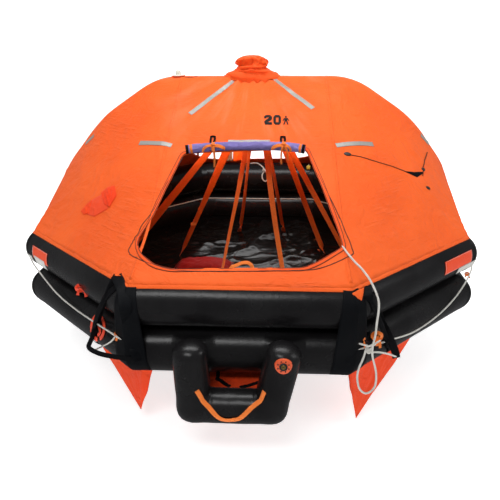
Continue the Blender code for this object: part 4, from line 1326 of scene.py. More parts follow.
def leg_end(side):
    top, down, outer = leg_axis(side)
    rings = []
    for angle in (88, 80, 70, 60, 50, 40, 30, 20, 10, 0):
        a = radians(angle)
        centre = top - down * RAMP_DOME * sin(a)
        r = RAMP_R * cos(a)
        rings.append([centre + outer * r * cos(t) + Vector((0, r * sin(t), 0))
                      for t in full_turn(RAMP_SIDES)])
    return rings


print("rings of a leg's end", len(leg_end(0)))


# %% Elbows of the ramp
ELBOW_STEPS = 14


def elbow(side):
    top, down, start = leg_axis(side)
    end = Vector((0, 0, -1))
    turn = start.angle(end)
    bend = RAMP_R + RAMP_INNER
    drop = (RAMP_TOP_Z - RAMP_LOW_Z - bend - start.z * bend) / -down.z
    pivot = top + down * drop - start * bend
    rings = []
    for step in range(ELBOW_STEPS + 1):
        a = turn * step / ELBOW_STEPS
        way = (start * sin(turn - a) + end * sin(a)) / sin(turn)
        full = (1 / cos(turn / 2) - 1) * 0.68 * sin(pi * step / ELBOW_STEPS) ** 3
        ring = []
        for t in full_turn(RAMP_SIDES):
            inward = RAMP_R * (1 + cos(t))
            reach = (RAMP_INNER + inward) * (1 + full * inward / (2 * RAMP_R))
            pinch = 0.004 * max(0.0, -cos(t)) * sin(step * 2.4) ** 2
            ring.append(pivot + way * (reach + pinch) + Vector((0, RAMP_R * sin(t), 0)))
        rings.append(ring)
    return rings


def between(first, last, count):
    return [[a.lerp(b, i / count) for a, b in zip(first, last)] for i in range(1, count)]


print("leg parts ready")

# %% Ramp skin, ring by ring
left_end, left_elbow = leg_end(0), elbow(0)
right_elbow, right_end = elbow(1)[::-1], leg_end(1)[::-1]
ramp_rings = (left_end + between(left_end[-1], left_elbow[0], 12) + left_elbow
              + between(left_elbow[-1], right_elbow[0], 16) + right_elbow
              + between(right_elbow[-1], right_end[0], 12) + right_end)
for ring in ramp_rings:
    centre = sum(ring, Vector()) / len(ring)
    for i, p in enumerate(ring):
        fine = noise.noise(p * 17) * 0.0012 + noise.noise(p * 5) * 0.0016
        ring[i] = p + (p - centre).normalized() * (fine - 0.0012)
ramp = piece("ramp_skin", ramp_rings, TUBE_BLACK, "tube", body="ramp", replaces="boarding_ramp", slot="black_rubber")
RAMP_SIDE = surface_of(ramp)
print("ramp skin", len(ramp.data.polygons), "faces")

# %% Ramp handle
HANDLE = [(-0.257, 0.1186, 0.032), (-0.215, 0.1245, -0.035), (-0.174, 0.1245, -0.102), (-0.125, 0.1245, -0.16),
          (-0.076, 0.1245, -0.184), (-0.02, 0.1235, -0.178), (0.019, 0.1235, -0.164), (0.07, 0.1245, -0.113),
          (0.12, 0.122, -0.045), (0.169, 0.107, 0.029)]
handle_path = smooth([(x, RAMP_Y - y, z) for x, y, z in HANDLE], 60)
handle_face = []
for i, p in enumerate(handle_path):
    hit, normal = RAMP_SIDE.find_nearest(p)[:2]
    handle_face.append(normal if normal.y < 0 else -normal)
    away = sin(pi * min(1.0, max(0.0, (i - 6) / 47))) * 0.006
    handle_path[i] = hit + handle_face[i] * (0.0024 + away)
web("ramp_handle_web", handle_path, handle_face, 0.032, 0.0026, TIE_ORANGE, body="ramp", replaces="ramp_handle",
    slot="webbing")
for number, k in enumerate((3, 56)):
    way = (handle_path[k + 1] - handle_path[k - 1]).normalized()
    ahead, side = way * 0.03, handle_face[k].cross(way) * 0.024
    c = handle_path[k]
    laid_strip("handle_patch_%d" % number, [c - ahead + side, c + ahead + side], [c - ahead - side, c + ahead - side],
               RAMP_SIDE, BAND_BLACK, lift=0.0008, thick=0.001, body="ramp")
print("handle", round(length_of(handle_path), 3), "m")

# %% [markdown]
# The inflation valve sits on the right leg: a wide orange rubber flange with eight black studs, a black ring
# and a brass valve body in its middle. The outlines below are turned round the valve's own axis.


# %% Turned pieces
def turned(name, outline, place, axis, finish, steps=48, **words):
    place, axis = Vector(place), Vector(axis).normalized()
    one = axis.orthogonal().normalized()
    two = axis.cross(one)
    rows = [[place + axis * z + (one * cos(a) + two * sin(a)) * r for a in full_turn(steps)]
            for r, z in outline]
    return piece(name, rows, finish, "tube", **words)


FLANGE = [(0.0, 0.0075), (0.03, 0.0078), (0.05, 0.0072), (0.0545, 0.0055), (0.056, 0.0025), (0.056, -0.002)]
VALVE_RING = [(0.0, 0.006), (0.0165, 0.006), (0.018, 0.0095), (0.0245, 0.0095), (0.0265, 0.0085), (0.0265, 0.004),
              (0.026, 0.0), (0.0, 0.0)]
VALVE_BODY = [(0.0, 0.0085), (0.007, 0.0085), (0.008, 0.0105), (0.012, 0.0105), (0.0155, 0.009), (0.0155, 0.006),
              (0.0, 0.006)]
VALVE_MARK = [(0.0, 0.0015), (0.0045, 0.0015), (0.005, 0.0), (0.0, 0.0)]
print("valve outlines 4")

# %% Ramp valve
VALVE_Z = 0.235
FORWARD = Vector((0, -1, 0))
valve_top, valve_down, _ = leg_axis(1)
VALVE_X = (valve_top + valve_down * (VALVE_Z - RAMP_TOP_Z) / valve_down.z).x
valve_at = Vector((VALVE_X, RAMP_Y - RAMP_R, VALVE_Z))
flange_rows = []
for r, z in FLANGE:
    # Its edge follows the leg's round, its middle only a third of it
    follow = 1.0 if z < 0.0072 or r > 0.05 else 0.35
    row = []
    for a in full_turn(64):
        x = r * cos(a)
        sink = follow * (RAMP_R - sqrt(RAMP_R ** 2 - x * x))
        row.append(Vector((VALVE_X + x, RAMP_Y - RAMP_R - z + sink, VALVE_Z + r * sin(a))))
    flange_rows.append(row)
piece("valve_flange", flange_rows, VALVE_ORANGE, "open", body="ramp", replaces="ramp_valve", slot="valve_plastic")
turned("valve_ring", VALVE_RING, valve_at + FORWARD * 0.00684, FORWARD, VALVE_BLACK, body="ramp")
turned("valve_brass", VALVE_BODY, valve_at + FORWARD * 0.0078, FORWARD, BRASS, body="ramp")
for number in range(8):
    a = radians(22 + 45 * number)
    spot = valve_at + Vector((0.038 * cos(a), -0.007, 0.038 * sin(a)))
    turned("valve_mark_%d" % number, VALVE_MARK, spot, FORWARD, VALVE_BLACK, steps=12, body="ramp")
print("valve at", [round(c, 3) for c in valve_at])

# %% [markdown]
# Behind the ramp's gap hangs a red-orange sheet. It is one slack sheet of pocket cloth, held along its front
# edge by the ramp's cross tube, and it rides with the ramp. Black straps cross it.

# %% Sheet behind the ramp
AROUND = RAMP_R + REST + 0.003
PANEL_FRONT = (RAMP_Y + AROUND * 0.87, RAMP_LOW_Z + AROUND * 0.493)
PANEL_BACK = (-1.65, -0.092)
PANEL_LEFT = Vector((-0.202, *PANEL_FRONT)), Vector((-0.24, *PANEL_BACK))
PANEL_RIGHT = Vector((0.126, *PANEL_FRONT)), Vector((0.19, *PANEL_BACK))
# Places of the straps across the sheet and from front to back, as shares
PANEL_STRAPS = [(0.16, 0.55, 0.42, 0.1), (0.98, 0.35, 0.66, 0.06), (0.2, 0.62, 0.2, 0.98)]
panel_rows = []
for i in range(25):
    t = i / 24
    left, right = PANEL_LEFT[0].lerp(PANEL_LEFT[1], t), PANEL_RIGHT[0].lerp(PANEL_RIGHT[1], t)
    row = []
    for k in range(25):
        p = left.lerp(right, k / 24)
        belly = 0.012 * sin(pi * t) * sin(pi * k / 24)
        row.append(p - TOP * (belly + 0.004 * wrinkle(p.x * 18, p.y * 18, 3)))
    panel_rows.append(row)
ramp_sheet = piece("ramp_sheet", panel_rows, POCKET_CLOTH, thick=0.002, body="ramp", replaces="ramp_panel",
                   slot="pocket_cloth")
for number, (s0, t0, s1, t1) in enumerate(PANEL_STRAPS):
    line = []
    for i in range(12):
        a, b = s0 + (s1 - s0) * i / 11, t0 + (t1 - t0) * i / 11
        line.append(panel_rows[int(b * 24)][int(a * 24)] + Vector((0, -0.002, 0.005)))
    web("ramp_sheet_strap_%d" % number, smooth(line, 24), Vector((0, -0.5, 0.85)), 0.026, 0.002, WEB_BLACK, body="ramp")
print("ramp sheet", round(area_of(ramp_sheet), 4), "m2")

# %% [markdown]
# ## The tied sleeve on the ridge
# A sleeve of canopy cloth stands over the hole where the lifting gear comes through, gathered and tied into
# a crumpled knob. Rings are read off a smooth outline; the lower ones pleat towards the tie, and the knob
# above it is pushed in and out by ridged noise, which leaves pinched folds.

# %% Sleeve outline
# Half width, half depth and height of its rings, from the roof to the tip
SLEEVE = [(0.243, 0.105, 1.812), (0.215, 0.102, 1.83), (0.172, 0.1, 1.848), (0.12, 0.094, 1.878),
          (0.132, 0.105, 1.915), (0.122, 0.098, 1.95), (0.078, 0.066, 1.972), (0.02, 0.02, 1.978)]
ROWS = 54
TIED_AT = 0.42
SLEEVE_TIP = 1.983


def roof_height(x, y):
    return CANOPY_TOP_SIDE.ray_cast(Vector((x, y, 2.5)), -TOP)[0].z


# How far the cloth stands out of the outline; knob is 0 below the tie and 1 above it
def sleeve_push(a, t, x, y, height, knob):
    flat = spoke(a)
    pleat = sin(a * 13 + 2.5 * noise.noise(flat * 2 + TOP * 3)) * 0.0045 * min(1.0, t / TIED_AT)
    lump = wrinkle(x * 13, y * 13, height * 15 + 5) * 0.022 * knob
    pinch = -0.016 * knob * max(0.0, 1 - abs(wrinkle(x * 17 + 3, y * 17, height * 21)) * 5.5)
    # The cloth is twisted as it is tied, so its folds climb round the knob
    twist = sin(a * 2 - height * 58 + 1.4 * wrinkle(x * 6, y * 6, height * 6))
    # Below the tie the cloth sags in slack folds that run round it
    below = min(1.0, t / 0.12) * (1 - knob)
    slack = sin(height * 190 + a * 1.5 + 2.2 * noise.noise(flat * 1.3)) * 0.006 * below
    return pleat * (1 - 0.6 * knob) + lump + pinch + slack + twist * (0.009 * knob + 0.003 * below)


print("sleeve rings", len(SLEEVE))

# %% Sleeve
sleeve_rows = []
for i, (wide, deep, height) in enumerate(smooth(SLEEVE, ROWS)):
    t = i / (ROWS - 1)
    knob = min(1.0, max(0.0, (t - TIED_AT) / 0.12))
    row = []
    for a in full_turn(132):
        x, y = wide * cos(a), deep * sin(a)
        out = sleeve_push(a, t, x, y, height, knob)
        x, y = x + out * cos(a), y + out * sin(a)
        roof = roof_height(SLEEVE_X + x, y) + 0.005
        z = roof + (height - roof) * min(1.0, t / 0.2)
        z = max(z, roof) + 0.012 * knob * wrinkle(a * 2.3, height * 9, 2) * (1 - t)
        row.append(Vector((SLEEVE_X + x, y, min(z, SLEEVE_TIP))))
    sleeve_rows.append(row)
sleeve = piece("sleeve_skin", sleeve_rows, SLEEVE_CLOTH, "open", replaces="ridge_sleeve", slot="canopy_cloth")
tie_rows = []
for a in full_turn(132):
    way = spoke(a)
    height = 1.884 + 0.009 * cos(a) + 0.0035 * sin(a * 3 + 1)
    thick = 0.007 + 0.003 * sin(a * 2 + 0.6)
    tie_rows.append([Vector((SLEEVE_X + 0.124 * way.x, 0.108 * way.y, height)) + way * thick * cos(b)
                     + TOP * (thick + 0.003) * sin(b) for b in full_turn(8)])
piece("sleeve_tie", tie_rows, SLEEVE_CLOTH, "ring")
print("sleeve", len(sleeve.data.polygons), "faces")

# %% [markdown]
# ## The rolled doors
# Each door is rolled up and tied under the arch. The roll is lilac lining cloth, wound loosely: its skin is
# wavy, pinched where black and orange loops hold it, and drawn in at both ends.

# %% Door rolls
# Loops that hold a roll: place along it and finish
ROLL_LOOPS = [(0.025, WEB_BLACK), (0.085, TIE_ORANGE), (0.92, TIE_ORANGE), (0.975, WEB_BLACK)]
PINCHED = (0.025, 0.085, 0.31, 0.69, 0.92, 0.975)
ROLL_COUNT = 120


# How far the roll's skin lies inside its full round
def roll_sink(t, a, p, rear):
    held = min(abs(t - spot) for spot in PINCHED)
    wave = wrinkle(t * 9, cos(a) * 1.1, sin(a) * 1.1 + rear * 4)
    crease = sin(a * 3 + t * 14 + wave * 3) * 0.0022 + 0.004 * noise.noise(p * 38) * (0 < t < 1)
    return 0.006 * exp(-(held / 0.012) ** 2) + 0.004 * max(0.0, wave) + 0.002 - min(0.001, crease)


for label, rear in HALVES:
    path = smooth([on_panel(x, up, ROLL_R - 0.001, rear) for x, up in ROLL], ROLL_COUNT)
    rows = []
    for i, ring in enumerate(tube_rows(path, ROLL_R, around=48, start_up=Vector((0, -1, 0.2)))):
        t = i / (ROLL_COUNT - 1)
        end = 1 - 0.35 * max(0.0, 1 - min(t, 1 - t) / 0.02)
        rows.append([path[i] + (p - path[i]).normalized() * (ROLL_R - roll_sink(t, a, p, rear)) * end
                     for a, p in zip(full_turn(48), ring)])
    roll = piece("door_roll_" + label, rows, ROLL_CLOTH, "tube", replaces=label + "_door_roll", slot="door_lining")
    for number, (t, finish) in enumerate(ROLL_LOOPS):
        at = int(t * (ROLL_COUNT - 1))
        ahead = (path[at + 1] - path[at - 1]).normalized()
        up = Vector((0, 1 if rear else -1, 0.2))
        up = (up - ahead * up.dot(ahead)).normalized()
        beside = ahead.cross(up)
        loop = [[path[at] + ahead * 0.011 * s + (up * cos(a) + beside * sin(a)) * (ROLL_R - 0.0035 + lift)
                 for s, lift in ((-1, 0), (-0.9, 0.002), (0.9, 0.002), (1, 0), (0.9, -0.001), (-0.9, -0.001))]
                for a in full_turn(40)]
        piece("roll_loop_%s_%d" % (label, number), loop, finish, "ring")
print("door rolls", len(HALVES))

# %% [markdown]
# ## Water pockets
# Four cloth bags hang under the tubes and fill with water, which steadies the raft. Hung dry, each is a
# limp bag drawn to one low corner, with folds running down to it. The rim is spread to a loop of points,
# every row below it shrinks towards the tip, and the folds grow between rim and tip.

# %% Pocket skins
POCKET_TOP = LOWER_Z - TUBE_R - REST
POCKETS = [("front_left", False, [(7, 0.02, 0.03), (7, "corner", 0.03), (0, -0.63, 0.03), (0, -0.72, -0.34)],
            (7, 0.593, -0.486)),
           ("front_right", False, [(1, -0.62, 0.03), (1, 0.22, 0.03), (1, -0.25, -0.36)], (1, -0.454, -0.588)),
           ("rear_left", True, [(7, -0.22, 0.03), (7, 0.62, 0.03), (7, 0.25, -0.36)], (7, 0.454, -0.54)),
           ("rear_right", True, [(1, -0.62, 0.03), (1, 0.22, 0.03), (1, -0.25, -0.36)], (1, -0.454, -0.54))]


# Folds of a pocket at a share round its rim and t of the way down
def pocket_fold(q, share, t, seed):
    fold = wrinkle(share * 11, 0.6 * t, seed * 5.0) * sin(pi * min(1, t * 1.1)) * 0.03
    fine = noise.noise(q * 9 + Vector((seed, 0, 0))) * 0.008 * sin(pi * t)
    tuck = -0.012 * max(0.0, 1 - abs(wrinkle(share * 17, t * 1.4, seed + 2.0)) * 5)
    return fold + fine + tuck * sin(pi * t)


def pocket_rows(corners, tip, seed, rear):
    middle = sum(corners, Vector()) / len(corners)
    loop = resample(corners + corners[:1], 97)[:-1]
    rows = []
    for i in range(40):
        t = i / 39
        row = []
        for k, p in enumerate(loop):
            q = p.lerp(tip, t * 0.995)
            way = q - middle.lerp(tip, t)
            way.z = 0
            width = way.length
            if width > 1e-6:
                q = q + way.normalized() * (pocket_fold(q, k / 96, t, seed) * min(1.0, width / 0.12) - 0.003)
            row.append(mirrored(q if i else q - TOP * 0.0012, rear))
        rows.append(row)
    return rows


print("pockets to hang", len(POCKETS))

# %% Pockets and their sewn edges
for seed, (name, rear, rim, (tip_side, tip_along, tip_z)) in enumerate(POCKETS):
    corners = [ring_point(side, along, out, POCKET_TOP) for side, along, out in rim]
    tip = ring_point(tip_side, tip_along, 0.0, tip_z)
    pocket = piece("pocket_cloth_" + name, pocket_rows(corners, tip, seed, rear), POCKET_CLOTH, "open", thick=0.0025,
                   replaces="water_pocket_" + name, slot="pocket_cloth")
    area, girth = area_of(pocket), length_of(corners + corners[:1])
    pocket_side = surface_of(pocket)
    for number, corner in enumerate(corners):
        ends = [mirrored(p - TOP * 0.004, rear) for p in (corner, tip)]
        line = [pocket_side.find_nearest(p)[0] for p in resample(ends, 40)]
        piece("pocket_seam_%s_%d" % (name, number), tube_rows(line, 0.0032, around=8), POCKET_CLOTH, "tube")
    print(name, round(area, 3), "m2")

# %% [markdown]
# ## Corner bands, straps and patches
# Black cloth bands wrap both tubes at the corners beside the entrances and bridge the waist between them.
# They are duller than the tubes. Beside them black straps run down to the pockets, and orange and white
# patches carry labels and line fixings; all are left without words.


# %% Bands
STEP = 11.25


# Outline across a tube, from one to another step of its round
def arc(radius, start, end, centre_z, count=14):
    turns = [radians(STEP * (start + (end - start) * i / (count - 1))) for i in range(count)]
    return [(radius * cos(a), centre_z + radius * sin(a)) for a in turns]


# Cloth laid on a tube along one side
def band(name, outline, side, start, end, count, finish, **words):
    rows = [[ring_point(side, start + (end - start) * k / (count - 1), out, z) for k in range(count)]
            for out, z in outline]
    return piece(name, rows, finish, thick=0.0022, offset=0, **words)


# Cloth laid round a corner: the reach before and after it, in count steps each
def corner_row(side, before, after, out, z, count):
    mitre = mitre_at(out)
    row = [ring_point(side, mitre - before * (1 - k / count), out, z) for k in range(count + 1)]
    return row + [ring_point((side + 1) % SIDES, -mitre + after * k / count, out, z) for k in range(1, count + 1)]


# Name, side before the corner, reach before and after it
BANDS = [("front_left", 7, 0.012, 0.016), ("front_right", 0, 0.016, 0.012), ("rear_right", 3, 0.012, 0.016),
         ("rear_left", 4, 0.016, 0.012)]
BAND_R = TUBE_R + 0.0022
band_outline = arc(BAND_R, 53.5 / STEP, 0, UPPER_Z, 26) + arc(BAND_R, 0, -4, LOWER_Z, 24)
for seed, (name, side, before, after) in enumerate(BANDS):
    rows = []
    for out, z in band_outline:
        # The bands widen towards their feet
        grow = 0.1 * (UPPER_Z + 0.14 - z) + mitre_at(out) - SIDE_HALF
        row = corner_row(side, before + grow, after + grow, out, z, 7)
        rows.append([p + p.normalized() * 0.0016 * noise.noise(p * 13 + Vector((seed, 0, 0))) for p in row])
    piece("band_" + name, rows, BAND_BLACK, thick=0.003, offset=0, replaces="corner_band_" + name, slot="black_band")
print("bands", len(BANDS))

# %% Straps from the corners to the pockets
TO_POCKET = [(0.655, 0.61), (0.55, 0.382), (0.42, 0.15), (0.26, -0.06)]
OTHER_WAY = [(-along, z) for along, z in TO_POCKET]
CORNER_STRAPS = [("front_left", 7, [(0.655, 0.61), (0.485, 0.418), (0.389, 0.222), (0.215, -0.06)]),
                 ("front_right", 1, OTHER_WAY), ("rear_left", 5, OTHER_WAY), ("rear_right", 3, TO_POCKET)]
# Middle height of the round that the strap follows, step of that round, and how far it stands off
STRAP_STEPS = [(UPPER_Z, 4, 0.0), (UPPER_Z, 3, 0.0), (UPPER_Z, 2, 0.0), (UPPER_Z, 1, 0.0), (UPPER_Z, 0, 0.002),
               (UPPER_Z - 0.16, 0, 0.016), (LOWER_Z + 0.03, 0, 0.017), (LOWER_Z, -1, 0.012), (LOWER_Z, -2, 0.006),
               (LOWER_Z, -3, 0.001), (LOWER_Z, -4, 0.0), (LOWER_Z, -5, 0.0), (LOWER_Z, -6, 0.0)]


def along_at(z, places):
    for (along_a, z_a), (along_b, z_b) in zip(places, places[1:]):
        if z >= z_b:
            break
    return along_a + (along_b - along_a) * (z - z_a) / (z_b - z_a)


for name, side, places in CORNER_STRAPS:
    points, facing = [], []
    for centre_z, step, stand in STRAP_STEPS:
        a = radians(STEP * step)
        reach = TUBE_R + REST + 0.0028 + stand
        z = centre_z + reach * sin(a)
        points.append(ring_point(side, along_at(z, places), reach * cos(a), z))
        facing.append(way_out(side).normalized() * cos(a) + TOP * sin(a))
    web("strap_" + name, smooth(points, 72), smooth(facing, 72), 0.045, 0.0026, WEB_BLACK,
        replaces="corner_strap_" + name, slot="webbing")
print("corner straps", len(CORNER_STRAPS))

# %% Label patches
for name, side, start, end in (("left", 7, -0.64, -0.37), ("right", 1, 0.30, 0.69)):
    band("label_" + name, arc(BAND_R, 2, -1, UPPER_Z, 16), side, start, end, 10, LABEL_CLOTH,
         replaces="label_patch_" + name, slot="white_patch")
    hem = arc(TUBE_R + 0.0036, 1.9, -0.9, UPPER_Z, 16)
    first, last = start + 0.006, end - 0.006
    level = [first + (last - first) * k / 9 for k in range(1, 9)]
    edge = ([ring_point(side, first, *place) for place in hem] + [ring_point(side, s, *hem[-1]) for s in level]
            + [ring_point(side, last, *place) for place in hem[::-1]]
            + [ring_point(side, s, *hem[0]) for s in level[::-1]])
    piece("label_thread_" + name, tube_rows(edge, 0.0009, around=6), WHITE_CLOTH, "ring")
print("labels 2")

# %% Line patches and tow patch
for number, side in enumerate((1, 2, 5, 6), 1):
    rows = []
    for out, z in arc(BAND_R, -1, -3, UPPER_Z, 12):
        reach = 0.02 + mitre_at(out) - SIDE_HALF
        rows.append(corner_row(side, reach, reach, out, z, 5))
    piece("line_mount_%d" % number, rows, WHITE_CLOTH, thick=0.002, replaces="line_patch_%d" % number,
          slot="white_patch")
tow_rows = []
for i in range(15):
    v = -1 + i / 7
    row = []
    for k in range(19):
        s = -1 + k / 9
        face = TUBE_R + 0.0136 - 0.012 * max(0.0, (abs(s) ** 8 + abs(v) ** 8) ** 0.125 - 0.9) / 0.1
        z = LOWER_Z + 0.034 * v
        row.append(ring_point(4, 0.08 * s, max(face, wrap_out(z, 0.0005)), z))
    tow_rows.append(row)
piece("tow_patch_face", tow_rows, BAND_BLACK, thick=0.002, replaces="tow_patch", slot="black_band")
print("patches done")

# %% Inflation valves inside
VALVE = [(0.046, 0.0), (0.0455, 0.004), (0.041, 0.0068), (0.033, 0.0092), (0.0315, 0.012), (0.0312, 0.0145),
         (0.0295, 0.0175), (0.024, 0.018), (0.0235, 0.0145), (0.012, 0.014), (0.0115, 0.0165), (0.004, 0.017),
         (0.0005, 0.017)]
STUD = [(0.003, -0.002), (0.003, 0.001), (0.0022, 0.0016), (0.0003, 0.0018)]
inward = ring_point(3, 0, -1, 0) - ring_point(3, 0, 0, 0)
side_way = inward.cross(TOP).normalized()
for name, z in (("lower_tube_valve", LOWER_Z), ("upper_tube_valve", UPPER_Z)):
    foot = ring_point(3, 0.2, -TUBE_R - REST, z)
    turned(name + "_cap", VALVE, foot, inward, VALVE_BLACK, replaces=name, slot="valve_plastic")
    for k, a in enumerate(full_turn(6)):
        spot = foot + inward.normalized() * 0.0085 + (side_way * cos(a) + TOP * sin(a)) * 0.0385
        turned("%s_stud_%d" % (name, k), STUD, spot, inward, STEEL, steps=12)
print("inner valves 2")

# %% [markdown]
# ## Things inside and below
# A maroon bag of equipment lies on the floor, slumped. It is a crowned cushion shape with pulled-in corners
# and a seam round its middle, swelled a little by cloth simulation. Under the
# floor, two straps hold the gas cylinder that blows the raft up.


# %% Equipment bag
def bag_point(u, v, w):
    x, y = 0.275 * u, 0.18 * v
    crown = (max(0.0, 1 - abs(u) ** 3.2)) ** 0.45 * (max(0.0, 1 - abs(v) ** 3.2)) ** 0.45
    pull = 1 - 0.05 * (u * v) ** 2
    height = 0.058 + w * 0.078 * crown
    slump = 0.011 * wrinkle(x * 6, y * 6, w + 2) * crown
    slump += 0.006 * wrinkle(x * 19, y * 19, w)
    x *= pull + 0.02 * wrinkle(v * 2.1, w, 0)
    y *= pull + 0.03 * wrinkle(u * 2.1, w, 5)
    return Vector((-0.44 + x, -0.235 + y, FLOOR_TOP + 0.012 + height + slump * (w > 0)))


BAG_N, BAG_M = 56, 40
COLUMNS = [-1 + 2 * i / BAG_N for i in range(BAG_N + 1)]
LEVELS = [-1 + 2 * j / BAG_M for j in range(BAG_M + 1)]
bag_bm = bmesh.new()
sheets = [[[bag_bm.verts.new(bag_point(u, v, w)) for v in LEVELS] for u in COLUMNS] for w in (1, -1)]
for turned_over, sheet in enumerate(sheets):
    for i in range(BAG_N):
        for j in range(BAG_M):
            quad = (sheet[i][j], sheet[i + 1][j], sheet[i + 1][j + 1], sheet[i][j + 1])
            bag_bm.faces.new(quad[::-1] if turned_over else quad).smooth = True
bmesh.ops.remove_doubles(bag_bm, verts=bag_bm.verts, dist=0.00002)
print("bag points", len(bag_bm.verts))

# %% Bag, its two halves joined at the rim
for i in range(BAG_N + 1):
    for j in range(BAG_M + 1) if i in (0, BAG_N) else (0, BAG_M):
        one, two = sheets[0][i][j], sheets[1][i][j]
        if one.is_valid and two.is_valid:
            one.co = two.co = (one.co + two.co) / 2
bmesh.ops.remove_doubles(bag_bm, verts=bag_bm.verts, dist=0.0004)
bmesh.ops.recalc_face_normals(bag_bm, faces=bag_bm.faces)
bag = piece("bag_skin", built_mesh("bag_skin", bag_bm), BAG_CLOTH, replaces="equipment_bag", slot="bag_cloth")


print("bag faces", len(bag.data.polygons))


# %% Swelling the bag
# Swell a closed skin with cloth, hold each point within a cap, and keep the result as plain mesh
def swell(obj, pressure, cap):
    rest = [v.co.copy() for v in obj.data.vertices]
    cloth = obj.modifiers.new("cloth", "CLOTH").settings
    cloth.quality = 6
    cloth.use_pressure = True
    cloth.uniform_pressure_force = pressure
    cloth.effector_weights.gravity = 0
    cloth.tension_stiffness = 12
    cloth.bending_stiffness = 0.4
    for number in range(1, 21):
        bpy.context.scene.frame_set(number)
    moved = worked_mesh(obj)
    for vert, new, old in zip(obj.data.vertices, moved.vertices, rest):
        step = new.co - old
        vert.co = old + step * min(1.0, cap / max(step.length, 1e-9))
    bpy.data.meshes.remove(moved)
    bpy.context.scene.frame_set(1)
    return max((v.co - old).length for v, old in zip(obj.data.vertices, rest))


print("bag swelled by", round(swell(bag, 4.0, 0.012) * 1000, 1), "mm")
across, along = [-1 + 2 * i / 40 for i in range(40)], [-1 + 2 * j / 30 for j in range(30)]
bag_rim = ([(u, -1) for u in across] + [(1, v) for v in along] + [(-u, 1) for u in across] + [(-1, -v) for v in along])
bag_seam = [bag_point(u, v, 0) for u, v in bag_rim]
piece("bag_piping", tube_rows(bag_seam, 0.0035, around=8), BAG_CLOTH, "ring")
print("bag", len(bag.data.polygons), "faces")

# %% Gas cylinder
GAS_Y, GAS_Z, GAS_R, GAS_HALF = 0.85, -0.105, 0.07, 0.32
shoulder = [(GAS_R * cos(a), GAS_HALF - 0.05 + 0.05 * sin(a))
            for a in (radians(d) for d in range(0, 71, 10))]
bottle = [(0.0005, -GAS_HALF - 0.004), (0.04, -GAS_HALF), (0.058, -GAS_HALF + 0.012), (0.067, -GAS_HALF + 0.03),
          (GAS_R, -GAS_HALF + 0.05)] + shoulder + [(0.022, GAS_HALF + 0.006), (0.022, GAS_HALF + 0.012)]
GAS_AT, ACROSS = (0, GAS_Y, GAS_Z), (1, 0, 0)
turned("gas_cylinder_skin", bottle, GAS_AT, ACROSS, GREY_PAINT, replaces="gas_cylinder", slot="steel")
HEAD = [(0.0215, 0.012), (0.0215, 0.03), (0.017, 0.034), (0.017, 0.052), (0.021, 0.055), (0.021, 0.068), (0.0005, 0.07)]
turned("gas_head", [(r, GAS_HALF + z) for r, z in HEAD], GAS_AT, ACROSS, BRASS, steps=32)
low = FLOOR_TOP - 0.034 - 0.0033 - 0.0005
circles = [(GAS_Y, GAS_Z, GAS_R + REST), (GAS_Y - 0.09, low, 0.0005), (GAS_Y + 0.09, low, 0.0005)]
for name, x in (("gas_strap_left", -0.17), ("gas_strap_right", 0.17)):
    piece(name + "_web", belt_rows(circles, x, 0.05, 0.003), WEB_BLACK, "ring", replaces=name, slot="webbing")
print("gas cylinder and straps 3")

# %% [markdown]
# ## Small light on the ridge
# A small lamp sits on the ridge: a foot patch, a base and a pale dome, with a short lead that lies on the
# cloth.

# %% Ridge light
LAMP_SHAPE = [(0.05, 0.0), (0.05, 0.004), (0.047, 0.0065), (0.024, 0.0085), (0.022, 0.012), (0.0215, 0.02),
              (0.0205, 0.032), (0.018, 0.042), (0.013, 0.047), (0.006, 0.0493), (0.0005, 0.0498)]
LAMP_FOOT = [(0.058, 0.0), (0.058, 0.0025), (0.051, 0.0035), (0.0505, 0.001)]
LEAD = [(0.03, -0.02, 0.0), (0.07, -0.045, -0.002), (0.12, -0.05, -0.006), (0.17, -0.03, 0.0)]
light_centre, light_way = along_line(ARCH_LINE, 0.355)
light_foot = light_centre + light_way * (ARCH_SKIN_R + 0.0005)
turned("ridge_lamp", LAMP_SHAPE, light_foot, light_way, LAMP_PLASTIC, replaces="canopy_light", slot="valve_plastic")
turned("ridge_lamp_foot", LAMP_FOOT, light_foot, light_way, SLEEVE_CLOTH)
lead = [CANOPY_TOP_SIDE.find_nearest(p)[0] + Vector((0, -0.001, 0.0025))
        for p in smooth([light_foot + Vector(place) for place in LEAD], 24)]
piece("ridge_lamp_wire", tube_rows(lead, 0.002, around=8), VALVE_BLACK, "tube")
print("ridge light at", [round(c, 3) for c in light_foot])

# %% [markdown]
# ## Where the ramp joins the raft
# Two collars of tube cloth join the leg ends to the lower tube, with small radial wrinkles where the cloth
# is drawn in. Each skin starts on the tube and swells towards the hinge line as far as the ramp's swing
# leaves room, so it stays clear of the moving legs.

# %% Collars
HINGE_Z = 0.23
COLLAR_CLEAR = 0.129
COLLAR_HALF = 0.15


def collar_skin(name, middle):
    rows = []
    for i in range(33):
        s = -1 + i / 16
        row = []
        for k in range(25):
            a = radians(4 + 62 * k / 24)
            y, z = -(FACE_CENTRE + (TUBE_R + 0.0008) * cos(a)), LOWER_Z + (TUBE_R + 0.0008) * sin(a)
            near = max(0.0, 1 - s * s) ** 1.5 * sin(pi * min(1.0, (k + 2) / 22)) ** 0.8
            near *= min(1.0, (24 - k) / 3)
            toward = Vector((RAMP_Y - y, HINGE_Z - z))
            move = toward.normalized() * min(max(0.0, toward.length - COLLAR_CLEAR), 0.075) * near
            ripple = 0.0016 * sin(s * 40 + 3 * wrinkle(s * 3, a * 4, 1)) * near * (1 - near) * 4
            row.append(Vector((middle + s * COLLAR_HALF, y + move.x, z + move.y + ripple)))
        rows.append(row)
    return piece(name + "_skin", rows, TUBE_BLACK, replaces=name, slot="black_rubber")


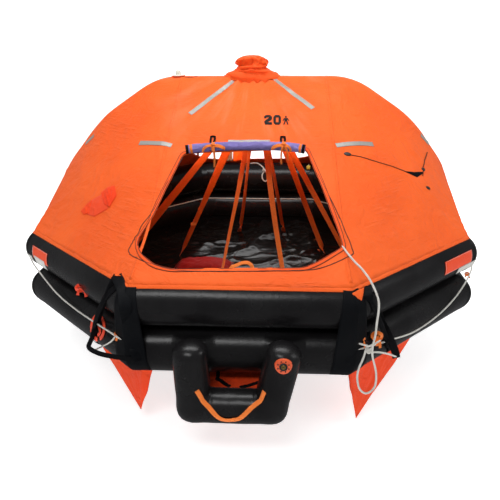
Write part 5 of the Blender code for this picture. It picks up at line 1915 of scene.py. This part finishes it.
for name, middle in zip(("ramp_collar_left", "ramp_collar_right"), RAMP_TOPS):
    collar_skin(name, middle)
print("collars 2")

# %% [markdown]
# ## Tapes on the canopy
# Grey reflective tape is glued on in short lengths, two running out from the ridge on each face and more
# along the shoulders, so that a searchlight finds the raft from any side. Each length is laid down on the
# cloth and follows its folds.

# %% Reflective tapes
TAPE_WIDE = 0.042
# Ends on the cloth, and ends given as places of the picture
TAPES = [("upper_left", Vector((-0.484, -0.412, 1.533)), Vector((-0.145, -0.071, 1.761))),
         ("upper_right", Vector((0.521, -0.359, 1.569)), Vector((0.179, -0.038, 1.783))),
         ("middle", Vector((-0.153, -0.675, 1.358)), Vector((0.177, -0.675, 1.358)))]
SEEN_TAPES = [("low_left", (139.5, 143.2), (171.7, 145.8)), ("low_right", (336.0, 145.6), (373.0, 144.4)),
              ("far_left", (85.8, 143.8), (94.2, 135.6)), ("far_right", (420.6, 135.0), (428.6, 144.2))]
TAPES += [(label, seen(*one, CANOPY_TOP_SIDE), seen(*two, CANOPY_TOP_SIDE)) for label, one, two in SEEN_TAPES]
for label, one, two in TAPES:
    for half, rear in HALVES:
        laid_tape("tape_%s_%s" % (label, half), mirrored(one, rear), mirrored(two, rear), TAPE_WIDE, CANOPY_TOP_SIDE,
                  GREY_TAPE, lift=0.003, thick=0.0008, along=60, across=9, up=TOP)
print("tapes", 2 * len(TAPES))

# %% [markdown]
# ## The capacity mark
# Above the entrance stands how many people the raft holds, painted in black, with a small standing figure.
# The numerals are strokes of a fixed width, drawn flat and laid on the cloth. The maker's word that a real
# raft has beside it is left bare.


# %% Numerals and figure
# A painted stroke between two edges that are given as places of the picture
def painted(name, edges):
    one, two = ([seen(*place, CANOPY_TOP_SIDE) for place in edge] for edge in edges)
    laid_strip(name, one, two, CANOPY_TOP_SIDE, BLACK_PAINT, lift=0.0026, thick=0.0006, along=44, across=4, up=TOP)


TWO = [(265.3, 118.6), (265.3, 117.2), (266.2, 116.4), (269.9, 116.4), (270.8, 117.4), (270.8, 118.8),
       (269.9, 119.9), (266.3, 121.2), (265.3, 122.4), (265.3, 123.6), (272.0, 123.6)]
ZERO = [(274.6, 117.5), (275.4, 116.4), (278.9, 116.4), (279.7, 117.5), (279.7, 122.5), (278.9, 123.6),
        (275.4, 123.6), (274.6, 122.5), (274.6, 117.5)]


# Two edges of a stroke of one width round its middle line
def stroke(middle_line, width):
    one, two = [], []
    closed = middle_line[0] == middle_line[-1]
    for i, (px, py) in enumerate(middle_line):
        back, ahead = middle_line[max(i - 1, 0)], middle_line[min(i + 1, len(middle_line) - 1)]
        if closed and i in (0, len(middle_line) - 1):
            back, ahead = middle_line[-2], middle_line[1]
        step = Vector((ahead[0] - back[0], ahead[1] - back[1])).normalized()
        one.append((px - step.y * width / 2, py + step.x * width / 2))
        two.append((px + step.y * width / 2, py - step.x * width / 2))
    return one, two


FIGURE = [([(285.2, 116.0), (286.6, 116.0)], [(285.0, 117.8), (286.8, 117.8)]),
          ([(284.0, 118.3), (287.8, 118.3)], [(284.6, 121.2), (287.2, 121.2)]),
          ([(283.9, 118.4), (282.5, 121.0)], [(284.7, 118.7), (283.3, 121.2)]),
          ([(287.8, 118.4), (289.4, 121.0)], [(287.0, 118.7), (288.6, 121.2)]),
          ([(284.5, 121.2), (283.2, 124.7)], [(285.8, 121.2), (284.5, 124.7)]),
          ([(286.0, 121.2), (287.2, 124.7)], [(287.3, 121.2), (288.5, 124.7)])]
painted("numeral_two_0", stroke(TWO, 2.5))
painted("numeral_zero_0", stroke(ZERO, 2.5))
for number, edges in enumerate(FIGURE):
    painted("figure_%d" % number, edges)
print("capacity mark")

# %% [markdown]
# ## Sewn lines and fittings of the canopy
# The door's reinforcing panel is sewn round its outer edge, in a dark line that is partly painted shadow. Lapped seams
# run from the edge to the ridge, a cord for catching rain crosses the right shoulder to a black patch, and three small
# patches lie on the left one. Each line or patch is laid on the cloth by its places in the picture or by the cut of the
# cloth.

# %% Seams
OUTER_SEAM = [(-0.492, -0.808, 1.269), (-0.591, -1.032, 1.119), (-0.66, -1.236, 0.983), (-0.748, -1.334, 0.918),
              (-0.766, -1.393, 0.878), (-0.817, -1.486, 0.816), (-0.802, -1.531, 0.786), (-0.696, -1.596, 0.742),
              (-0.591, -1.633, 0.718), (-0.401, -1.673, 0.691), (0.0, -1.675, 0.69), (0.37, -1.661, 0.699),
              (0.54, -1.642, 0.712), (0.759, -1.542, 0.778), (0.769, -1.487, 0.815), (0.707, -1.328, 0.922),
              (0.595, -1.059, 1.101), (0.496, -0.834, 1.251)]


def thread_on(name, points, radius, finish, lift=0.0008, count=120):
    line = []
    for p in resample(points, count):
        hit, normal = CANOPY_TOP_SIDE.find_nearest(p)[:2]
        line.append(hit + (normal if normal.dot(hit - TOP * 0.3) > 0 else -normal) * lift)
    return piece(name, tube_rows(line, radius, around=6), finish, "tube")


for label, rear in HALVES:
    seam = smooth([mirrored(place, rear) for place in OUTER_SEAM], 90)
    # The dark seam line is partly thread, partly painted shadow under the reinforcing panel's raised edge
    thread_on("panel_seam_" + label, seam, 0.0034, PIPING_AND_SHADOW, count=220)
print("panel seams", len(HALVES))

# %% Lapped seams from the edge to the ridge
for number, corner in enumerate((2, 4, 1, 5)):
    x, y, share, sag, _ = CANOPY_CORNERS[corner]
    for label, rear in HALVES:
        strip = [mirrored(p, rear) for p in canopy_strip(Vector((x, y, EDGE_Z)), share, sag)[1:]]
        way = Vector((-strip[0].y, strip[0].x, 0)).normalized() * 0.012
        laid_strip("lapped_seam_%d_%s" % (number, label), [p + way for p in strip], [p - way for p in strip],
                   CANOPY_TOP_SIDE, CANOPY_CLOTH, lift=0.0008, thick=0.001, along=70, across=4, up=TOP)
print("lapped seams done")

# %% Canopy edge hem
# The cloth's foot is turned up and glued down on the tube: angle round the tube, and lift
HEM = ((58.5, 0.0058), (55.5, 0.0056), (52.5, 0.0034), (49.5, 0.0016))
for side in range(SIDES):
    rows = []
    for k in range(40):
        t = -1 + 2 * k / 39
        row = []
        for angle, lift in HEM:
            a, r = radians(angle), TUBE_R + lift
            wave = 0.0012 * wrinkle(t * 9 + side * 7, angle, 0)
            row.append(ring_point(side, t * mitre_at(r * cos(a)), r * cos(a), UPPER_Z + r * sin(a) + wave))
        rows.append(row)
    piece("canopy_hem_%d" % side, rows, CANOPY_CLOTH, thick=0.001)
# Size of the canopy's cut as one sheet, from its area
canopy_area = area_of(canopy) / 2
CUT_WIDE = 2 * EDGE_OUT + 0.3
CANOPY_CUT = (CUT_WIDE, round(canopy_area / CUT_WIDE * 1.4, 2))

# %% Fittings on the right shoulder
def spots(*places, surface=CANOPY_TOP_SIDE):
    return [hit for hit in (seen(*place, surface) for place in places) if hit]


def lozenge(name, px, py, wide, tall, thick):
    centre, normal = CANOPY_TOP_SIDE.ray_cast(EYE, sight(px, py))[:2]
    if normal.dot(EYE - centre) < 0:
        normal = -normal
    one = Vector((1, 0, 0)).cross(normal).cross(normal).normalized()
    two = normal.cross(one)
    rows = [[centre + (one * wide * cos(a) + two * tall * sin(a)) * r + normal * thick * up
             for a in full_turn(32)] for r, up in ((1.0, 0.0), (0.97, 0.55), (0.85, 0.9), (0.55, 1.0), (0.02, 1.0))]
    return piece(name, rows, VALVE_BLACK, "tube")


lozenge("rain_fitting", 347.5, 154.2, 0.03, 0.017, 0.008)
lozenge("rain_ring", 423.2, 169.4, 0.02, 0.016, 0.007)
lozenge("rain_end", 428.0, 188.0, 0.024, 0.014, 0.007)
thread_on("rain_cord", spots((350, 155), (372, 160.5), (392, 166.5), (405, 171.5)), 0.0028, BLACK_PAINT, lift=0.0026,
          count=60)
thread_on("rain_cord_up", spots((422.5, 168), (424.5, 160), (427, 152.5)), 0.0035, BLACK_PAINT, lift=0.003, count=24)
thread_on("rain_cord_down", spots((423.0, 171), (422.5, 176)), 0.0035, BLACK_PAINT, lift=0.003, count=12)
laid_strip("rain_patch", spots((405, 171.3), (414, 172.2), (423, 171.8)),
           spots((405.2, 172), (417, 177.4), (423, 173.5)), CANOPY_TOP_SIDE, BAND_BLACK, lift=0.0016, thick=0.0015,
           along=20, across=6, up=TOP)
print("rain fittings")

# %% Reinforcing patches with tie tapes, left shoulder
# Name, upper and lower edge in the picture, finish and lift
LEFT_TIES = [("middle", [(86.5, 206), (94, 199), (104, 193.5)], [(85.5, 214), (94.5, 217), (108, 209)],
              LABEL_CLOTH, 0.0025),
             ("low", [(81.3, 211.5), (87, 204.5), (92.6, 200)], [(84.5, 215), (89.5, 213.5), (91.5, 207)],
              POCKET_CLOTH, 0.006),
             ("high", [(101.5, 193), (108, 187.8), (115, 186)], [(105, 205), (110, 207.5), (117, 195.5)],
              POCKET_CLOTH, 0.006)]
OFF_CLOTH = Vector((-0.55, -0.5, 0.6))
for label, top_edge, low_edge, finish, stand in LEFT_TIES:
    one, two = spots(*top_edge), spots(*low_edge)
    rows = [[a.lerp(b, k / 11) for k in range(12)] for a, b in zip(resample(one, 24), resample(two, 24))]
    rows = lay_down(rows, CANOPY_TOP_SIDE, stand, TOP)
    for i, row in enumerate(rows):
        for k, p in enumerate(row):
            from_edge = sin(pi * i / 23) * sin(pi * k / 11)
            crest = max(0.0, 1 - abs(noise.noise(p * 26)) * 4.5) * 0.012
            row[k] = p + OFF_CLOTH * (crest * from_edge + 0.001)
    piece("tie_patch_" + label, rows, finish, thick=0.0015)
print("tie patches", len(LEFT_TIES))

# %% [markdown]
# ## Door ties
# Two black webbing loops above the roll take the orange tapes that hold it up. Their ends are tied in a bow
# and hang down in front of the opening.


# %% Loops, bands and hanging ties
def hanging(name, points, width, finish, thick=0.0012, flutter=0.0):
    faces = swinging(Vector((0, -0.9, 0.4)), flutter, 9 / 40, len(name), 40)
    return web(name, smooth(points, 40), faces, width, thick, finish)


# Name, place across of the loop and of the tape round the roll, side of its last tail, and the tails:
# reach across, drop and width
DOOR_TIES = [("left", -0.273, -0.262, -1, [(-0.075, 0.05, 0.02), (0.085, 0.03, 0.026), (0.012, 0.17, 0.017)]),
             ("right", 0.278, 0.29, 1, [(-0.085, 0.035, 0.026), (0.05, 0.05, 0.02), (-0.02, 0.15, 0.014),
                                        (0.03, 0.12, 0.014)])]
ROLL_LINE = smooth([on_panel(x, up, ROLL_R - 0.001) for x, up in ROLL], 60)
for label, x, foot_x, end_side, tails in DOOR_TIES:
    for number, offset in enumerate((-0.014, 0.014)):
        line = [on_panel(x + offset * 1.1, 1.372, 0.003), on_panel(x + offset * 1.1, 1.33, 0.012),
                on_panel(x + offset * 0.8, 1.29, 0.03), on_panel(x + offset * 0.5, 1.262, 0.052)]
        hanging("roll_hanger_%s_%d" % (label, number), line, 0.016, WEB_BLACK, thick=0.002)
    top = [on_panel(x - 0.022, 1.375, 0.004), on_panel(x, 1.379, 0.006), on_panel(x + 0.022, 1.375, 0.004)]
    hanging("roll_hanger_top_" + label, top, 0.016, WEB_BLACK, thick=0.002)
    c = min(ROLL_LINE, key=lambda p: abs(p.x - foot_x))
    loop = [[c + Vector((0.014 * s, (ROLL_R + lift) * cos(a), (ROLL_R + lift) * sin(a)))
             for s, lift in ((-1, -0.003), (-0.9, 0.001), (0.9, 0.001), (1, -0.003), (0.9, -0.004), (-0.9, -0.004))]
            for a in full_turn(40)]
    piece("roll_tape_" + label, loop, TIE_ORANGE, "ring")
    tied = c + Vector((0, -0.034, 0.016))
    turns = [tied + Vector((0.02 * cos(k / 3), -0.008 * sin(k / 2.2), 0.011 * sin(k / 3)))
             for k in range(20)]
    piece("roll_knot_" + label, tube_rows(turns, 0.007, around=8), TIE_ORANGE, "tube")
    for number, (dx, drop, wide) in enumerate(tails):
        points = [tied, tied + Vector((dx * 0.55, -0.016, 0.004 - drop * 0.1)),
                  tied + Vector((dx * 0.95, -0.012, -drop * 0.5)),
                  tied + Vector((dx + 0.004 * end_side, -0.004 + 0.004 * number, -drop))]
        hanging("roll_tail_%s_%d" % (label, number), points, wide, TIE_ORANGE, flutter=0.35)
print("door ties", len(DOOR_TIES))

# %% [markdown]
# ## Corner straps, ties and knots beside the entrance
# The corners are where the raft is handled: black straps hang there in loops, the grab lines end in small
# orange ties, and the entrance rope is knotted to them. Places that the picture shows on a surface are found
# on that surface; what hangs clear of it is put on the same line of sight, a little nearer.

# %% Places before the hull
HULL_SIDE = surface_of(lower_skin, upper_skin, canopy)


def depth_at(px, py):
    return (seen(px, py, HULL_SIDE) - EYE).length


LEFT_DEPTH, RIGHT_DEPTH = depth_at(118, 300), depth_at(372, 320)


# A place of the picture, a lift before the hull there or at a depth from the eye
def before_hull(px, py, lift=0.01, depth=None):
    hit = seen(px, py, HULL_SIDE)
    if hit and depth is None:
        return hit - sight(px, py) * lift
    return EYE + sight(px, py) * (depth or (LEFT_DEPTH if px < 250 else RIGHT_DEPTH))


print("corner depths", round(LEFT_DEPTH, 3), round(RIGHT_DEPTH, 3))


# %% Black webs at the corners
def seen_web(name, places, width, finish, thick=0.002, twist=0.0):
    faces = swinging(-sight(*places[0][:2]), twist, 3 / 48, 0, 48)
    return web(name, smooth([before_hull(*place) for place in places], 48), faces, width, thick, finish)


seen_web("corner_loop_left", [(116, 275, 0.012), (111, 284, 0.02), (104, 303, 0.022), (98, 322, 0.02),
                              (91, 340, 0.02, 4.42), (89, 347.5, 0.02, 4.40), (98, 353, 0.02, 4.36),
                              (110, 356, 0.02, 4.30), (124, 358, 0.012, 4.22), (136, 360, 0.008, 4.19)],
         0.034, WEB_BLACK, twist=0.3)
seen_web("corner_fall_left", [(117, 275, 0.014), (123, 290, 0.02), (126, 312, 0.03), (131, 332, 0.022),
                              (136, 350, 0.012), (141, 360, 0.01)], 0.085, BAND_BLACK, thick=0.003, twist=0.15)
seen_web("corner_strap_right", [(372, 292, 0.012), (380, 318, 0.03), (387, 332, 0.022), (394, 348, 0.018),
                                (396.5, 358, 0.016)], 0.055, WEB_BLACK)
seen_web("corner_fall_right", [(366, 286, 0.01), (368, 300, 0.012), (369, 320, 0.02), (362, 338, 0.012),
                               (352, 350, 0.01), (345, 362, 0.008)], 0.07, BAND_BLACK, thick=0.003)
print("corner webs 4")


# %% Ties
def tie_bow(name, px, py, size, finish, lift=0.012, tails=2, seed=0.0, depth=None):
    centre = before_hull(px, py, lift, depth)
    toward = -sight(px, py)
    loops = []
    for k in range(26):
        a = radians(-30 + 420 * k / 25)
        loops.append(centre + RIGHT * size * 0.5 * cos(a) + UP * size * 0.32 * sin(a)
                     + toward * size * 0.25 * sin(2 * a))
    web(name + "_loop", loops, [toward.lerp(RIGHT, 0.35)] * 26, size * 0.42, 0.0014, finish)
    for number in range(tails):
        way = -0.5 + number / (tails - 1) + 0.2 * sin(seed + number)
        points = [centre, centre + RIGHT * size * way * 0.6 - UP * size * 0.3 + toward * 0.004,
                  centre + RIGHT * size * way - UP * size * (0.85 + 0.2 * number) + toward * 0.002]
        web(name + "_tail_%d" % number, smooth(points, 20), swinging(toward, 0.8, 0.3, seed, 20), size * 0.34, 0.0014,
            finish)


tie_bow("tie_left_rope", 119.5, 334, 0.055, TIE_ORANGE, lift=0.06, seed=0.3)
tie_bow("tie_right_one", 360.5, 340, 0.055, TIE_ORANGE, lift=0.05, seed=1.2)
tie_bow("tie_right_two", 377.0, 336, 0.066, TIE_ORANGE, lift=0.055, seed=2.1, tails=3)
tie_bow("tie_left_seam", 80.5, 288, 0.062, RING_RED, lift=0.012, seed=0.9)
tie_bow("tie_right_far", 467.0, 274, 0.034, TIE_ORANGE, seed=0.2, depth=5.2)
# Orange cloth folded out at the canopy's corners: its two edges in the picture, lift and rows across
FLAPS = [("right", [(352.2, 293.6), (357.8, 290.2), (363.6, 288.0)], [(352.5, 294.6), (357.0, 298.6), (361.0, 300.6)],
          0.006, 8),
         ("left", [(112, 281), (112.5, 275), (117, 272.6)], [(114.4, 281), (116, 277), (122, 277)], 0.012, 6)]
for label, one, two, lift, across in FLAPS:
    laid_strip("corner_flap_" + label, spots(*one, surface=HULL_SIDE), spots(*two, surface=HULL_SIDE), HULL_SIDE,
               CANOPY_CLOTH, lift=lift, thick=0.002, along=16, across=across, up=Vector((0, -1, 0.3)))
print("ties done")


# %% Knots of rope
def knot(name, centre, radius, turns, seed=0.0, toward=None):
    toward = toward or -sight(373, 348)
    count = int(34 * turns)
    points = []
    for k in range(count):
        a = 2 * pi * turns * k / (count - 1) + seed
        r = radius * (0.72 + 0.28 * sin(a * 1.5 + seed))
        points.append(centre + RIGHT * r * cos(a) + UP * r * 0.9 * sin(a * 1.31 + seed)
                      + toward * radius * 0.55 * sin(a * 0.77 + 1))
    return rope_piece(name, points, ROPE_R * 0.96, finish=ROPE_WHITE)


knot_at = beside_entrance(2.047, 0.096, 0.212)
rope_knot = knot("entrance_rope_knot", knot_at, 0.021, 2.6, seed=0.4)
TAIL = [(2.06, 0.155, 0.196), (2.062, 0.225, 0.17), (2.06, 0.30, 0.13)]
LASHING = [(2.026, 0.02, 0.272), (2.038, 0.05, 0.262), (2.05, 0.085, 0.252), (2.046, 0.14, 0.262), (2.034, 0.18, 0.27)]
SPUR = [(116, 335.5, 0.045), (111, 341.5, 0.04), (103, 346, 0.03), (95, 350.0, 0.012, 4.395),
        (91.5, 352.5, 0.012, 4.40)]
tail = smooth([knot_at + Vector((0.005, -0.012, -0.004))] + [beside_entrance(*place) for place in TAIL], 40)
cord_piece("entrance_rope_tail", tail, ROPE_R * 0.9, "bare", [rope_knot], finish=ROPE_WHITE)
lash = smooth([beside_entrance(*place) for place in LASHING], 40)
cord_piece("entrance_rope_lashing", lash, LINE_R, finish=ROPE_WHITE)
left_knot = knot("left_line_knot", before_hull(116.5, 334.5, 0.045), 0.013, 1.9, seed=1.1, toward=-sight(116, 334))
spur = smooth([before_hull(*place) for place in SPUR], 40)
cord_piece("left_line_spur", spur, LINE_R, "knot", [left_knot], finish=ROPE_WHITE)

# %% [markdown]
# A red-orange ring sits on the left tube. It is drawn as a narrow raised ring, open at one place, with a
# smaller one inside it, and both are laid on the tube.


# %% Ring patch on the left lower tube
def ring_on(name, centre, size, width, open_part, lift, thick):
    one, two = [], []
    for k in range(48):
        a = radians(open_part[0] + (open_part[1] - open_part[0]) * k / 47)
        x, y = size[0] * cos(a), size[1] * sin(a)
        for line, grow in ((one, 1.0), (two, 1.0 - width)):
            line.append(seen(centre[0] + x * grow, centre[1] - y * grow, HULL_SIDE))
    return laid_strip(name, one, two, HULL_SIDE, RING_RED, lift=lift, thick=thick, along=72, across=5,
                      up=Vector((-0.5, -1, 0.3)))


ring_on("filler_ring", (98.6, 327.5), (7.4, 13.4), 0.3, (-70, 265), lift=0.006, thick=0.006)
ring_on("filler_inner", (97.6, 331.0), (4.0, 5.4), 0.5, (-80, 240), lift=0.005, thick=0.002)
print("filler ring")

# %% White blanks on the labels
for name, side, start, end, low, high in (("left", 7, -0.61, -0.42, -2.6, -0.2), ("right", 1, 0.50, 0.71, -2.6, -1.0)):
    band("label_blank_" + name, arc(TUBE_R + 0.0046, high, low, UPPER_Z, 12), side, start, end, 8, WHITE_CLOTH)
print("label blanks 2")

# %% [markdown]
# ## Small things seen through the entrance
# A white rope with a loop, two yellow floats, two flaps and a few orange tapes hang and lie inside. They are
# small, but the eye goes straight to them against the black floor.

# %% Rope and floats at the far tube
def at_depth(px, py, depth):
    return EYE + sight(px, py) * depth


# Against the far tube, where the sight line meets it
def on_far_tube(px, py, lift):
    return (seen(px, py, HULL_SIDE) or at_depth(px, py, 7.0)) - sight(px, py) * lift


ROPE_DROP = [(250.0, 163.5), (256.7, 163.2), (262.0, 166.5), (264.5, 170.5), (262.3, 174.5), (262.6, 179.0),
             (265.3, 181.3), (267.8, 178.5), (267.0, 174.0), (265.4, 170.6)]
FLOAT_SHAPE = [(0.1, 1.0), (0.6, 0.98), (0.85, 0.86), (0.97, 0.6), (1.0, 0.2), (1.0, -0.2), (0.97, -0.6),
               (0.85, -0.86), (0.6, -0.98), (0.1, -1.0)]
rope_drop = smooth([on_far_tube(*place, 0.012 + 0.002 * k) for k, place in enumerate(ROPE_DROP)], 80)
inside_knot = knot("inside_rope_knot", on_far_tube(264.5, 170.5, 0.03), 0.02, 1.8, seed=2.0, toward=-sight(264, 170))
cord_piece("inside_rope", rope_drop, 0.0075, "knot", [inside_knot], finish=ROPE_WHITE)
for number, (px, py, wide, tall) in enumerate(((291.5, 167.0, 0.034, 0.035), (308.5, 167.5, 0.024, 0.024))):
    c = on_far_tube(px, py, 0.035)
    rows = [[c + Vector((wide * r * copysign(abs(cos(a)) ** 0.55, cos(a)), wide * 0.6 * r * sin(a),
                         tall * z)) for a in full_turn(28)] for r, z in FLOAT_SHAPE]
    float_piece = piece("yellow_float_%d" % number, rows, YELLOW, "tube")
    hang = [on_far_tube(px + 0.6, py - 4.4, 0.006), on_far_tube(px + 0.3, py - 3.4, 0.03), c + TOP * tall]
    cord_piece("float_cord_%d" % number, smooth(hang, 16), 0.003, "fitting", [float_piece], finish=ROPE_WHITE)

# %% Flaps in the rear entrance
for label, left_px, right_px, finish in (("orange", 233, 249, WEB_ORANGE), ("grey", 226.5, 232.5, GREY_TAPE)):
    upper = [at_depth(px, 148, 6.1) for px in (left_px, right_px)]
    lower = [at_depth(px, 161, 6.12) for px in (left_px, right_px)]
    rows = [[upper[0].lerp(upper[1], k / 7).lerp(lower[0].lerp(lower[1], k / 7), i / 9)
             + Vector((0, 0.012 * sin(k * 1.3 + i * 0.4), 0)) for k in range(8)] for i in range(10)]
    flap = piece("rear_hanging_" + label, rows, finish, thick=0.002)
    wide = (upper[1] - upper[0]).length
    round(area_of(flap) / wide * 1.01, 4)
    print(flap.name, round(wide, 3), "m wide")

# %% Buckle and loose tapes
buckle = at_depth(193.5, 224, 5.25)
rows = [[buckle + RIGHT * 0.024 * a + UP * 0.013 * b - sight(193, 224) * 0.006 * c
         for a, b in ((-1, -1), (1, -1), (1, 1), (-1, 1))] for c in (-1, 1)]
buckle_mesh = grid_mesh("strap_buckle", rows, round_rows=True, caps=True, soft=False)
soft = piece("strap_buckle", buckle_mesh, TIE_ORANGE).modifiers.new("soft", "BEVEL")
soft.width = 0.004
soft.segments = 3
FLOOR_TAPES = [[(296, 241), (303, 244), (311, 241.5), (320, 240)], [(300, 238), (309, 236.5), (318, 239), (327, 236.5)],
               [(312, 247.5), (320, 245), (329, 247), (338, 243)], [(305, 249), (315, 251), (326, 250.5)],
               [(318, 252.5), (328, 251), (336, 249)], [(229, 229.5), (233, 232.5), (238, 230.5), (234, 228)]]
for number, places in enumerate(FLOOR_TAPES):
    line = smooth([seen(*place, FLOOR_SIDE) + TOP * 0.004 for place in places], 36)
    line = [p + TOP * 0.008 * abs(sin(k * 0.35 + number)) for k, p in enumerate(line)]
    faces = swinging(Vector((0, -0.3, 1)), 0.9, 0.28, number, 36, "X")
    web("floor_tape_%d" % number, line, faces, 0.014, 0.0014, TIE_ORANGE)
NEAR_LOOP = [(228, 280), (229.5, 272), (232, 267.0), (236, 265.5), (242, 263.0), (248, 262.8), (252, 266.5), (253, 273),
             (253, 280)]
web("entrance_loop", smooth([at_depth(*place, 4.17) for place in NEAR_LOOP], 40), Vector((0, -0.6, 0.8)), 0.028,
    0.002, TIE_ORANGE)
print("tapes on the floor", len(FLOOR_TAPES))
